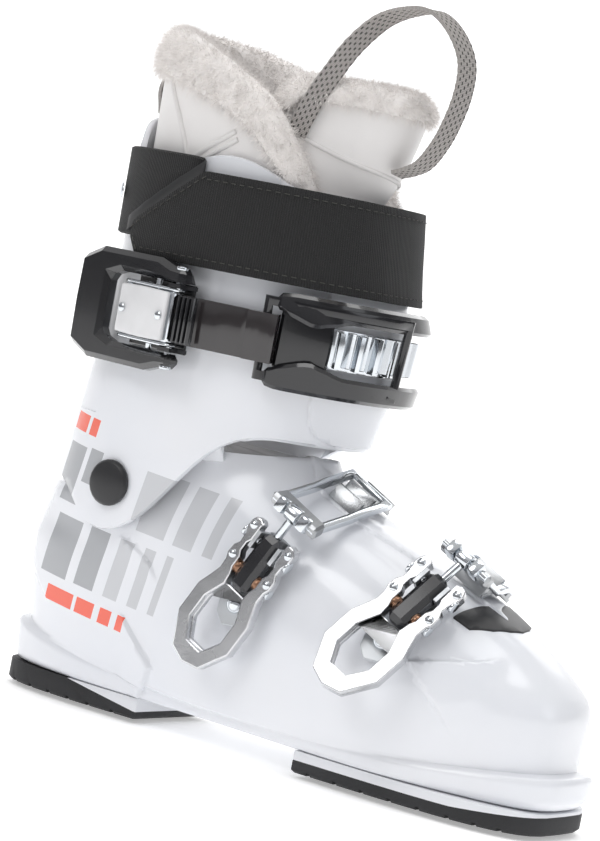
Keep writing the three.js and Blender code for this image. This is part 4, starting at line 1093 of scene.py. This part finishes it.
STRAP_MIDDLE = 0.226  # the height at which places along the strap are taken
STRAP_BOTTOM, STRAP_TOP = 0.207, 0.249
TIP_X, CUT_X = -0.0935, -0.058  # the strap's tip, and where the slant of its upper edge begins
TIP_TOP = 0.2215  # height of the upper edge at the tip
CORNER_X, CORNER_RUN, CORNER_RISE = -0.0885, 0.005, 0.0075  # the cut-off lower corner of the tip
STRAP_LIFT, STRAP_THICKNESS = 0.0044, 0.0026
THREAD_INSET = 0.0035  # from a long edge of the strap to its stitches


def girth_uv(obj, wrap):
    """UV in metres: along the girth, and height."""
    steps = 240
    table, total, last = [], 0.0, None
    for i in range(steps + 1):
        spot = wrap.point(math.tau * i / steps, STRAP_MIDDLE, 0.004)
        total += (spot - last).length if last else 0.0
        last = spot
        table.append(total)
    layer = obj.data.uv_layers.new(name="UVMap")
    for loop in obj.data.loops:
        p = obj.data.vertices[loop.vertex_index].co
        share = bearing(p, wrap.centre) / math.tau * steps
        low = min(steps - 1, int(share))
        layer.data[loop.index].uv = (table[low] + (table[low + 1] - table[low]) * (share - low), p.z)
    return obj


def stitches(name, spots, pitch, width=0.00055):
    """Short threads along a row of (point, normal) spots."""
    points, faces = [], []
    travelled, due = 0.0, 0.0
    for (here, normal), (there, _) in zip(spots, spots[1:]):
        run = there - here
        while due < travelled + run.length:
            start = here + run.normalized() * (due - travelled)
            along = run.normalized() * pitch * 0.55
            across = normal.cross(along).normalized() * width / 2
            rise = normal * width * 0.7
            first = len(points)
            for end in (start, start + along):
                points += [end - across - rise, end + across - rise, end + across * 0.6 + rise,
                           end - across * 0.6 + rise]
            faces += [(first, first + 3, first + 2, first + 1), (first + 4, first + 5, first + 6, first + 7)]
            for k in range(4):
                after = (k + 1) % 4
                faces.append((first + k, first + after, first + 4 + after, first + 4 + k))
            due += pitch
        travelled += run.length
    return from_points(name, points, faces)


class BOOT_OT_strap(Operator):
    """Builds the booster strap, its under band, tape, stitches and rivets."""

    bl_idname = "boot.strap"
    bl_label = "Strap"

    def slant(self, x):
        """Height of the slanted upper edge at a place along the boot."""
        return TIP_TOP + (STRAP_TOP - TIP_TOP) * (x - TIP_X) / (CUT_X - TIP_X)

    def edges(self, x, on_buckle_side):
        """Heights of the strap's lower and upper edge at a place along the boot."""
        low, high = STRAP_BOTTOM, STRAP_TOP
        if on_buckle_side and x <= CUT_X:
            high = self.slant(x)
        if on_buckle_side and x <= CORNER_X:
            low += CORNER_RISE * (CORNER_X - x) / CORNER_RUN
        return low, high

    def rows(self, low, high):
        """Seven heights from one edge to the other."""
        return [low + (high - low) * k / 6 for k in range(7)]

    def tape(self, wrap, start, end):
        """The narrow tape under the slanted end."""
        columns = [start + (end - start) * i / 16 for i in range(17)]

        def rows(i):
            line = self.slant(wrap.point(columns[i], STRAP_MIDDLE, 0.0).x)
            return [max(0.2125, line - 0.0006) + 0.0068 * k / 2 for k in range(3)]

        tape = strip_on("strap_tape", wrap, columns, rows, 0.0038, 0.0016)
        smooth(bevel(tape, 0.0004, 2, 50), 40)
        finish_piece(tape, "tape", "cuff", "black_webbing")

    def thread(self, wrap, columns, edges, pitch):
        """Stitches along both long edges and along the slanted end."""
        face = STRAP_LIFT + STRAP_THICKNESS
        rows = {"top": [], "low": [], "end": []}
        for angle, (low, high) in zip(columns, edges):
            slanted = high < STRAP_TOP
            heights = {"low": low + THREAD_INSET if high - low > 0.012 else None,
                       "top": None if slanted else high - THREAD_INSET,
                       "end": high - 0.0030 if slanted and high - low > 0.007 else None}
            for word, height in heights.items():
                if height is not None:
                    rows[word].append((wrap.point(angle, height, face), spoke(angle)))
        seams = [stitches(f"thread_{word}", spots, pitch) for word, spots in rows.items()]
        thread = joined("strap_thread", seams)
        finish_piece(thread, "thread", "cuff", "black_webbing")

    def execute(self, context):
        wrap = Wrap()
        start, end = wrap.angle_at(TIP_X), math.tau + wrap.angle_at(-0.082, -1)
        columns = [start + (end - start) * (i / 96) for i in range(97)]
        places = [wrap.point(angle, STRAP_MIDDLE, 0.0).x for angle in columns]
        edges = [self.edges(x, angle < math.pi * 0.9) for x, angle in zip(places, columns)]
        rows = [self.rows(low, high) for low, high in edges]
        strap = strip_on("booster_strap", wrap, columns, lambda i: rows[i], STRAP_LIFT, STRAP_THICKNESS)
        bevel(strap, 0.0006, 2, 50)
        smooth(girth_uv(strap, wrap), 40)
        finish_piece(strap, "webbing", "cuff", "black_webbing", "power_strap")

        under = smooth(subdivide(crease_sharp(copy_of("strap_anchor", "under_band"), 50, 0.95), 1), 40)
        girth_uv(under, wrap)
        finish_piece(under, "webbing", "cuff", "black_webbing", "strap_anchor")

        self.tape(wrap, start - 0.10, wrap.angle_at(CUT_X - 0.002))
        self.thread(wrap, columns, edges, context.scene.boot_sizes.stitch_pitch)

        for side in ("outer", "inner"):
            node = f"strap_rivet_{side}"
            rivet = dressed(node, f"{node}_head", 0.0003, edge=20)
            finish_piece(rivet, "steel", "cuff", "bright_steel", node)
        return {"FINISHED"}


def flow(route, samples):
    """A smooth line through the points of a route."""
    line = []
    for i in range(len(route) - 1):
        a, b, c, d = (route[max(0, i - 1)], route[i], route[i + 1], route[min(len(route) - 1, i + 2)])
        for k in range(samples):
            t = k / samples
            line.append(0.5 * ((2 * b) + (c - a) * t + (2 * a - 5 * b + 4 * c - d) * t * t
                               + (3 * b - a - 3 * c + d) * t ** 3))
    return line + [route[-1]]


def ribbon(name, line, width, thickness, across, edge=0.0003):
    """A flat webbing with UV in metres, along it and across it."""
    count = 5
    points, faces, uvs = [], [], []
    travelled = 0.0
    for i, here in enumerate(line):
        ahead = line[min(len(line) - 1, i + 1)] - line[max(0, i - 1)]
        tangent = ahead.normalized()
        wide = across(i / (len(line) - 1))
        wide = (wide - tangent * wide.dot(tangent)).normalized()
        face = tangent.cross(wide)
        if i:
            travelled += (here - line[i - 1]).length
        ripple = edge * math.sin(travelled * math.tau / 0.0024)
        for level in (-0.5, 0.5):
            for k in range(count):
                reach = (k / (count - 1) - 0.5) * (width + (ripple if k in (0, count - 1) else 0))
                points.append(here + wide * reach + face * thickness * level)
                uvs.append((travelled, reach + width / 2))
    ring = 2 * count
    loop = list(range(count)) + list(range(ring - 1, count - 1, -1))
    for i in range(len(line) - 1):
        for a, b in zip(loop, loop[1:] + loop[:1]):
            faces.append((i * ring + a, i * ring + b, (i + 1) * ring + b, (i + 1) * ring + a))
    faces.append(tuple(loop))
    faces.append(tuple((len(line) - 1) * ring + k for k in reversed(loop)))
    mesh = bpy.data.meshes.new(name)
    mesh.from_pydata([tuple(p) for p in points], [], faces)
    layer = mesh.uv_layers.new(name="UVMap")
    for loop_part in mesh.loops:
        layer.data[loop_part.index].uv = uvs[loop_part.vertex_index]
    obj = added(name, mesh)
    settle(obj, name)
    bpy.ops.object.mode_set(mode="EDIT")
    bpy.ops.mesh.select_all(action="SELECT")
    bpy.ops.mesh.normals_make_consistent(inside=False)
    bpy.ops.object.mode_set(mode="OBJECT")
    return smooth(obj, 40)


class BOOT_OT_loops(Operator):
    """Builds the finger loop on the tongue and the tab behind the collar."""

    bl_idname = "boot.loops"
    bl_label = "Loops"

    def execute(self, context):
        route = [(-45.2, 272.6, 24.9), (-42.4, 280.1, 25.3), (-38.4, 290, 25.2), (-34, 301.8, 22.2),
                 (-30, 315.9, 15), (-22.9, 328.2, 7.8), (-12.7, 334.7, 2.8), (-0.8, 336.2, 0.3),
                 (10.7, 329.1, 0), (19.2, 316.9, 0), (20.4, 302.5, 0), (17.1, 287.4, 0), (12.7, 277, 0),
                 (7.4, 269.4, 0), (1, 265.6, 0), (-5.2, 263.4, 0)]
        line = flow([Vector((12.55 + ahead, -0.21 - aside, z)) * MM for ahead, z, aside in route], 10)
        beside, across = Vector((0.93, 0.36, 0)), Vector((0.4, 0.9, 0))
        loop = ribbon("finger_loop", line, 0.0092, 0.0017,
                      lambda share: beside.lerp(across, min(1, share / 0.35)))
        finish_piece(loop, "loop", "cuff", "grey_webbing", "pull_loop")

        low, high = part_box("rear_pull_tab")
        middle = (low.y + high.y) / 2
        thickness = 0.0016
        back = low.x + thickness / 2
        tab_route = [(0.0022, 272.5), (0.0012, 277), (0.0, 282), (0.0004, 286), (0.0022, 289.5)]
        tab_line = flow([Vector((back + x, middle, z * MM)) for x, z in tab_route], 8)
        tab = ribbon("rear_tab", tab_line, 0.016, thickness, lambda share: Vector((0, 1, 0)), 0.0)
        finish_piece(tab, "loop", "cuff", "grey_webbing", "rear_pull_tab")
        return {"FINISHED"}


# ---------------------------------------------------------------- forefoot buckles


OUT_AXIS = Matrix.Rotation(math.radians(90), 4, "X")  # turns a lathe's axis to point out of the seat


class BOOT_OT_foot_buckles(Operator):
    """Builds the two forefoot buckles: base, lever, springs, barrel, rod, bail and teeth."""

    bl_idname = "boot.foot_buckles"
    bl_label = "Forefoot buckles"

    def execute(self, context):
        turns = context.scene.boot_sizes.coil_turns
        for kind in ("instep", "toe"):
            self.build(kind, seat_of(kind), turns)
        return {"FINISHED"}

    def bail_slope(self, node, seat):
        """A frame at the near bar of a bail, turned to lie as the bail does."""
        inverse = seat.inverted()
        spots = [inverse @ v.co for v in NODES[node].data.vertices]
        near, far = min(p.z for p in spots), max(p.z for p in spots)
        ends = []
        for low, high in ((near, near + 0.005), (far - 0.005, far)):
            part = [p for p in spots if low <= p.z <= high]
            ends.append(sum(part, Vector()) / len(part))
        fall = math.atan2(ends[1].y - ends[0].y, ends[1].z - ends[0].z)
        return seat @ Matrix.Translation((0, ends[0].y, near + 0.001)) @ Matrix.Rotation(-fall, 4, "X")

    def build(self, kind, seat, turns):
        """One buckle, from its lever down to its teeth."""
        prefix = f"{kind}_buckle"
        lever_body = f"{kind}_lever"
        self.lever(prefix, lever_body, seat)
        self.base(prefix, seat)
        self.hinge(prefix, lever_body, seat, turns)
        self.rod(prefix, kind, seat)
        self.bail(prefix, kind, seat)
        teeth = dressed(f"{prefix}_tooth_block", f"{prefix}_teeth")
        finish_piece(teeth, "brushed", "shell", "cast_alloy", f"{prefix}_tooth_block")
        self.studs(prefix, lever_body, seat)

    def lever(self, prefix, lever_body, seat):
        """The cast lever: an open frame with a raised lip about its hole."""
        outline = [(7.6, 7.4), (9.6, 8.6), (12.6, 8.0), (13.8, 5.4), (13.8, 1.2), (12.4, -1.8), (12.2, -5.4),
                   (13.8, -8.2), (14.0, -12.6), (12.8, -15.4), (12.6, -20), (14.2, -25), (16.6, -31.5),
                   (16.6, -46.5), (8.6, -60.5), (0, -63)]
        hole = [(7.6, 20), (7.6, -1.5), (8.8, -4.0), (8.8, -8), (7.4, -10.5), (7.4, -16), (6.2, -19),
                (5.6, -24), (9.8, -34), (9.8, -45.2), (4.4, -54)]
        lever = plate(f"{prefix}_lever_cast", mirrored(outline), 6.2, 11.6, seat, 0)
        cut_out(lever, plate("hole", mirrored(hole), 0, 20, seat, 0))
        bevel(lever, 0.0008, 2, 40)
        lip = [(9.0, -23.5), (10.7, -33.6), (10.7, -45.7), (4.9, -55.6)]
        inner = [(7.2, -24.5), (9.1, -34.2), (9.1, -44.9), (4.1, -53.2)]
        rim = plate("rim", mirrored(lip), 6.4, 9.2, seat, 0)
        cut_out(rim, plate("hole", mirrored(inner), 0, 20, seat, 0))
        bevel(rim, 0.0005, 2, 40)
        lever = joined(f"{prefix}_lever_cast", [lever, rim])
        smooth(lever, 18)
        finish_piece(lever, "alloy", lever_body, "cast_alloy", f"{prefix}_lever")

    def base(self, prefix, seat):
        """The base plate, the tail under the lever and the domed rivet."""
        base = dressed(f"{prefix}_base", f"{prefix}_base_plate")
        finish_piece(base, "zinc", "shell", "cast_alloy", f"{prefix}_base")
        half = [(8.4, -21), (8.0, -33), (5.6, -38), (0, -41)]
        tail = smooth(plate(f"{prefix}_base_tail", mirrored(half), 1.0, 2.4, seat, 0.0003, 1), 15)
        finish_piece(tail, "zinc", "shell", "cast_alloy")
        profile = [(0.01, 5.4), (1.8, 5.1), (3.2, 4.3), (4.1, 3.2), (4.3, 2.2), (0.01, 2.2)]
        place = seat @ Matrix.Translation((0, 0, -0.0300)) @ OUT_AXIS
        dome = turned(f"{prefix}_rivet_dome", profile, place)
        finish_piece(dome, "steel", "shell", "bright_steel", f"{prefix}_base_rivet")

    def hinge(self, prefix, lever_body, seat, turns):
        """The hinge pins, the spring about each and the cross pin."""
        for word, side in (("rear", -1), ("front", 1)):
            pin = f"{prefix}_hinge_pin_{word}"
            head = dressed(pin, f"{pin}_head")
            finish_piece(head, "steel", "shell", "bright_steel", pin)
            coil = []
            steps = turns * 14  # 14 points in each turn of the wire
            for i in range(steps + 1):
                share = i / steps
                angle = share * turns * math.tau
                coil.append(local(seat, side * (4.9 + 2.9 * share), 8 + 2.9 * math.sin(angle),
                                  -15 + 2.9 * math.cos(angle)))
            coil.append(local(seat, side * 7.8, 5.0, -19.5))
            spring = tube(f"{prefix}_coil_{word}", coil, 0.00029, sides=1)
            finish_piece(spring, "copper", lever_body, "copper_spring", f"{prefix}_spring_{word}")
        cross = dressed(f"{prefix}_cross_pin", f"{prefix}_cross_pin_head")
        finish_piece(cross, "steel", lever_body, "bright_steel", f"{prefix}_cross_pin")

    def rod(self, prefix, kind, seat):
        """The dark barrel and the rod that screws into it."""
        barrel = box(f"{prefix}_barrel_dark", (-4.9, 4.9), (3.7, 12.8), (-22.5, 6), seat, 0.0024, 1)
        smooth(barrel, 20)
        finish_piece(barrel, "dark", f"{kind}_barrel", "dark_steel", f"{prefix}_barrel")

        rod = dressed(f"{prefix}_rod", f"{prefix}_rod_steel", 0.0003, shade=40)
        finish_piece(rod, "steel", f"{kind}_rod", "bright_steel", f"{prefix}_rod")

    def bail(self, prefix, kind, seat):
        """The bail, its two knuckles and the bar that lies on the teeth."""
        bail = dressed(f"{prefix}_bail", f"{prefix}_bail_wire", 0.0007, 3, shade=45)
        finish_piece(bail, "steel", f"{kind}_bail", "bright_steel", f"{prefix}_bail")
        knuckles = []
        for side in (-1, 1):
            across = tuple(sorted((side * 4.4, side * 9.6)))
            knuckles.append(box("knuckle", across, (4.2, 11.8), (15.4, 22.6), seat, 0.0013, 2))
        slope = self.bail_slope(f"{prefix}_bail", seat)
        outline = [(-14.2, -1.4), (14.2, -1.4), (13.0, 6.6), (-13.0, 6.6)]
        bar = smooth(plate(f"{prefix}_yoke_bar", outline, -2.6, 3.6, slope, 0.0012, 1), 15)
        finish_piece(bar, "brushed", f"{kind}_bail", "bright_steel")
        yoke = smooth(joined(f"{prefix}_yoke", knuckles), 30)
        finish_piece(yoke, "steel", f"{kind}_bail", "bright_steel")

    def studs(self, prefix, lever_body, seat):
        """Four domed studs on the lever."""
        profile = [(0.01, 1.1), (1.2, 0.9), (1.9, 0.3), (2.0, -0.6), (0.01, -0.6)]
        studs = []
        for across in (-11.2, 11.2):
            for along in (4.4, -11.6):
                place = seat @ Matrix.Translation((across * MM, -0.0116, along * MM)) @ OUT_AXIS
                studs.append(turned("stud", profile, place, 16))
        finish_piece(joined(f"{prefix}_lever_studs", studs), "steel", lever_body, "bright_steel")


# ---------------------------------------------------------------- cuff buckle


class BOOT_OT_cuff_buckle(Operator):
    """Builds the cuff buckle: lever frame, adjuster, ribbed band, bail arms and ladder."""

    bl_idname = "boot.cuff_buckle"
    bl_label = "Cuff buckle"

    def execute(self, context):
        seat = seat_of("cuff")
        wrap = Wrap()
        outline = [(15.8, 4.4), (22.2, 4.0), (22.6, -4), (25.2, -13), (25.2, -53), (19.5, -66), (0, -66.5)]
        hole = [(15.8, 30), (15.8, -14), (15.8, -37.5), (13.2, -45.5)]
        lever = plate("cuff_lever_frame", mirrored(outline), 3.2, 11.8, seat, 0)
        cut_out(lever, plate("hole", mirrored(hole), -5, 30, seat, 0))
        bevel(lever, 0.0026, 1, 40)
        smooth(lever, 12)
        finish_piece(lever, "black", "cuff_lever", "black_gloss", "cuff_lever")
        finish_node("cuff_buckle_base", "black")
        for node, body in (("cuff_hinge_pin_upper", "cuff"), ("cuff_hinge_pin_lower", "cuff"),
                           ("cuff_cross_pin", "cuff_lever"), ("cuff_adjuster_screw_rear", "cuff_adjuster"),
                           ("cuff_adjuster_screw_front", "cuff_adjuster")):
            pin = dressed(node, f"{node}_bright", 0.0003)
            finish_piece(pin, "steel", body, "bright_steel", node)

        carrier = dressed("cuff_adjuster_body", "adjuster_carrier", 0.0006)
        finish_piece(carrier, "steel", "cuff_adjuster", "bright_steel", "cuff_adjuster_body")
        outline = [(-10.9, -33.5), (10.9, -33.5), (11.3, -18), (10.9, -2), (-10.9, -2), (-11.3, -18)]
        cap = smooth(plate("adjuster_cap", outline, 10.5, 13.3, seat, 0.0012, 3), 40)
        finish_piece(cap, "silver", "cuff_adjuster", "silver_cap", "cuff_adjuster_cap")
        rails = []
        for side in (-1, 1):
            route = [(-33, 6.4), (-33, 8.8), (-31.5, 10.2), (-16, 10.9), (-2.5, 10.2), (0.4, 8.8),
                     (0.4, 6.4)]
            line = flow([local(seat, side * 12.3, out, along) for along, out in route], 4)
            rails.append(tube("rail", line, 0.0009))
        rails = joined("adjuster_rails", rails)
        finish_piece(rails, "steel", "cuff_adjuster", "bright_steel")

        band = dressed("cuff_band", "band_strip", 0.0006, shade=30)
        finish_piece(band, "smoke", "cuff_band", "black_gloss", "cuff_band")
        ribs = [box("rib", (-10.6, 10.6), (6.4, 9.6), (along, along + 1.7), seat, 0.0005, 2)
                for along in (1.2, 4.2, 7.2, 10.2)]
        ribs = smooth(joined("band_ribs", ribs), 35)
        finish_piece(ribs, "black", "cuff_band", "black_gloss")

        self.bail(wrap)
        self.ladder(wrap)
        return {"FINISHED"}

    def bail(self, wrap):
        """Two broad faceted arms over the CAD bail's rails."""
        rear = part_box("cuff_bail")[0].x
        start, end = wrap.angle_at(rear + 0.001), math.radians(199)
        arms = []
        columns = [start + (end - start) * i / 28 for i in range(29)]
        for near_edge, far_edge, upper in ((0.1948, 0.2040, 1), (0.1612, 0.1712, 0)):

            def rows(i):
                share = i / 28
                grow = 0.0045 * max(0.0, 1 - abs(share - 0.2) / 0.16)
                near, far = near_edge - grow * upper, far_edge + grow * (1 - upper)
                taper = 0.0012 * max(0.0, 1 - share / 0.08)
                return [near + taper + (far - near - 2 * taper) * k / 2 for k in range(3)]

            arms.append(strip_on("arm", wrap, columns, rows, 0.0040, 0.0062))
        hook_end = start + (end - start) * 0.30
        columns = [start + 0.03 + (hook_end - start - 0.03) * i / 10 for i in range(11)]
        hook_rows = [0.1695 + 0.0272 * k / 3 for k in range(4)]
        arms.append(strip_on("hook", wrap, columns, lambda i: hook_rows, 0.0010, 0.0038))
        arms = joined("bail_arms", arms)
        bevel(arms, 0.0016, 1, 40)
        smooth(arms, 18)
        finish_piece(arms, "black", "cuff_bail", "black_gloss")
        bail_frame = dressed("cuff_bail", "bail_frame", 0.0008)
        finish_piece(bail_frame, "black", "cuff_bail", "black_gloss", "cuff_bail")

    def ladder(self, wrap):
        """The toothed ladder: the CAD bed with slanted teeth."""
        bed = dressed("cuff_ladder", "ladder_bed")
        finish_piece(bed, "steel", "cuff", "bright_steel", "cuff_ladder")
        teeth = []
        for i in range(7):
            angle = math.radians(158 + 5.4 * i)
            profile = [(0.0, 0.0016), (0.030, 0.0054), (0.052, 0.0054), (0.060, 0.0016)]
            points = []
            for z in (0.1755, 0.1915):
                points += [wrap.point(angle + turn, z, lift) for turn, lift in profile]
            faces = [(0, 1, 2, 3), (7, 6, 5, 4)]
            for k in range(4):
                faces.append((k, (k + 1) % 4, 4 + (k + 1) % 4, 4 + k))
            teeth.append(from_points("tooth", points, faces))
        teeth = joined("ladder_teeth", teeth)
        bevel(teeth, 0.0003, 1, 30)
        smooth(teeth, 25)
        finish_piece(teeth, "steel", "cuff", "bright_steel")


# ---------------------------------------------------------------- stage


VIEW_TURN = math.radians(32.85)


class BOOT_OT_stage(Operator):
    """Builds the pale sweep, the lights and the camera."""

    bl_idname = "boot.stage"
    bl_label = "Stage"

    def execute(self, context):
        self.sweep()
        self.world(context.scene)
        self.lights()
        self.camera(context.scene)
        return {"FINISHED"}

    def sweep(self):
        """A floor that curves up behind the boot."""
        sweep = [(-3.0, 0.0), (0.8, 0.0), (1.4, 0.03), (1.9, 0.16), (2.3, 0.42), (2.6, 0.85), (2.8, 1.5),
                 (2.9, 3.0)]
        line = flow([Vector((0, y, z)) for y, z in sweep], 6)
        points = [(x, p.y, p.z) for p in line for x in (-4.0, 4.0)]
        faces = [(2 * i, 2 * i + 1, 2 * i + 3, 2 * i + 2) for i in range(len(line) - 1)]
        mesh = bpy.data.meshes.new("sweep")
        mesh.from_pydata(points, [], faces)
        floor = added("sweep", mesh)
        mesh.transform(Matrix.Rotation(VIEW_TURN, 4, "Z"))
        mesh.transform(Matrix.Translation((0, 0, -0.0002)))
        only(floor)
        bpy.ops.object.shade_smooth()
        material, n, p = shader("sweep_paper")
        place = n.add("ShaderNodeTexCoord").outputs["Object"]
        noise = n.add("ShaderNodeTexNoise", {"Vector": place, "Scale": 3.0, "Detail": 3.0})
        n.links.new(n.mix(noise.outputs[0], (0.93, 0.93, 0.93, 1), (0.95, 0.95, 0.95, 1)),
                    p.inputs["Base Color"])
        p.inputs["Roughness"].default_value = 0.95
        p.inputs["Specular IOR Level"].default_value = 0.1
        p.inputs["Emission Color"].default_value = (1, 1, 1, 1)
        p.inputs["Emission Strength"].default_value = 0.36
        mesh.materials.append(material)

    def world(self, scene):
        """A grey sky with paler and darker bands for the gloss to mirror."""
        world = bpy.data.worlds.new("studio")
        scene.world = world
        world.use_nodes = True
        tree = world.node_tree
        background = tree.nodes["Background"]
        where = tree.nodes.new("ShaderNodeTexCoord")
        split = tree.nodes.new("ShaderNodeSeparateXYZ")
        ramp = tree.nodes.new("ShaderNodeValToRGB")
        tree.links.new(where.outputs["Generated"], split.inputs[0])
        tree.links.new(split.outputs["Z"], ramp.inputs[0])
        tree.links.new(ramp.outputs[0], background.inputs[0])
        stops = ramp.color_ramp.elements
        stops[0].position, stops[0].color = 0.0, (0.25, 0.25, 0.26, 1)
        stops[1].position, stops[1].color = 0.75, (1, 1, 1, 1)
        for place, tone in ((0.10, 0.14), (0.20, 0.60), (0.34, 0.75), (0.42, 0.26), (0.55, 0.85)):
            stop = stops.new(place)
            stop.color = (tone, tone, tone * 1.04, 1)
        background.inputs[1].default_value = 0.60
        scene.view_settings.view_transform = "Standard"

    def lights(self):
        """Soft round lights; their places turn with the view."""
        view = Matrix.Rotation(VIEW_TURN, 4, "Z")
        for name, place, aim, size, power, tint in (
                ("key", (-1.1, -1.0, 1.4), (0, 0, 0.15), 0.9, 7.5, (1, 1, 1)),
                ("fill", (1.4, -0.9, 0.7), (0, 0, 0.15), 1.1, 3, (0.93, 0.96, 1)),
                ("top", (0.1, -0.2, 1.9), (0, 0, 0.1), 1.2, 9.5, (1, 1, 1)),
                ("rim", (0.6, 1.4, 1.1), (0, 0, 0.2), 0.9, 2.0, (1, 1, 1)),
                ("backdrop", (0.0, 0.9, 1.9), (0, 2.4, 0.6), 1.8, 16, (1, 1, 1))):
            light = bpy.data.lights.new(name, "AREA")
            light.shape = "DISK"
            light.size = size
            light.energy = power
            light.color = tint
            lamp = added(name, light)
            lamp.location = view @ Vector(place)
            lamp.rotation_euler = (view @ Vector(aim) - lamp.location).to_track_quat("-Z", "Y").to_euler()

    def camera(self, scene):
        """The camera of the main view."""
        turn, rise, roll = VIEW_TURN, math.radians(3.2), math.radians(10.95)
        middle, distance = Vector((-0.02245, 0.0068, 0.1473)), 1.362
        back = Vector((math.sin(turn) * math.cos(rise), -math.cos(turn) * math.cos(rise), math.sin(rise)))
        right = Vector((math.cos(turn), math.sin(turn), 0))
        up = back.cross(right)
        tilted_right = right * math.cos(roll) + up * math.sin(roll)
        tilted_up = up * math.cos(roll) - right * math.sin(roll)
        lens = bpy.data.cameras.new("camera")
        lens.sensor_width = 36
        lens.lens = 129.27
        camera = added("camera", lens)
        pose = Matrix((tilted_right, tilted_up, back)).transposed().to_4x4()
        pose.translation = middle + back * distance
        camera.matrix_world = pose
        lens.clip_start, lens.clip_end = 0.05, 20
        scene.camera = camera


# ---------------------------------------------------------------- panel and running order


class BOOT_PT_panel(Panel):
    """Lists the boot's pieces and sizes."""

    bl_label = "Ski boot"
    bl_idname = "BOOT_PT_panel"
    bl_space_type = "VIEW_3D"
    bl_region_type = "UI"
    bl_category = "Ski boot"

    def draw(self, context):
        for settings in (context.scene.boot_sizes, context.scene.boot_colours):
            for name in settings.bl_rna.properties.keys():
                if name not in ("rna_type", "name"):
                    self.layout.prop(settings, name)
        for operator in OPERATORS:
            self.layout.operator(operator.bl_idname)


OPERATORS = (BOOT_OT_stage, BOOT_OT_shell, BOOT_OT_soles, BOOT_OT_cuff, BOOT_OT_liner, BOOT_OT_strap,
             BOOT_OT_loops, BOOT_OT_foot_buckles, BOOT_OT_cuff_buckle)
CLASSES = (BootColours, BootSizes, *OPERATORS, BOOT_PT_panel)


def register():
    for cls in CLASSES:
        bpy.utils.register_class(cls)
    bpy.types.Scene.boot_colours = PointerProperty(type=BootColours)
    bpy.types.Scene.boot_sizes = PointerProperty(type=BootSizes)


def unregister():
    del bpy.types.Scene.boot_sizes
    del bpy.types.Scene.boot_colours
    for cls in reversed(CLASSES):
        bpy.utils.unregister_class(cls)


def main():
    """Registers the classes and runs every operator."""
    register()
    scene = bpy.context.scene
    clear_selection()
    MATERIALS.update(build_materials(scene.boot_colours, scene.boot_sizes))
    for operator in OPERATORS:
        group_name, call = operator.bl_idname.split(".")
        getattr(getattr(bpy.ops, group_name), call)()


if __name__ == "__main__":
    main()
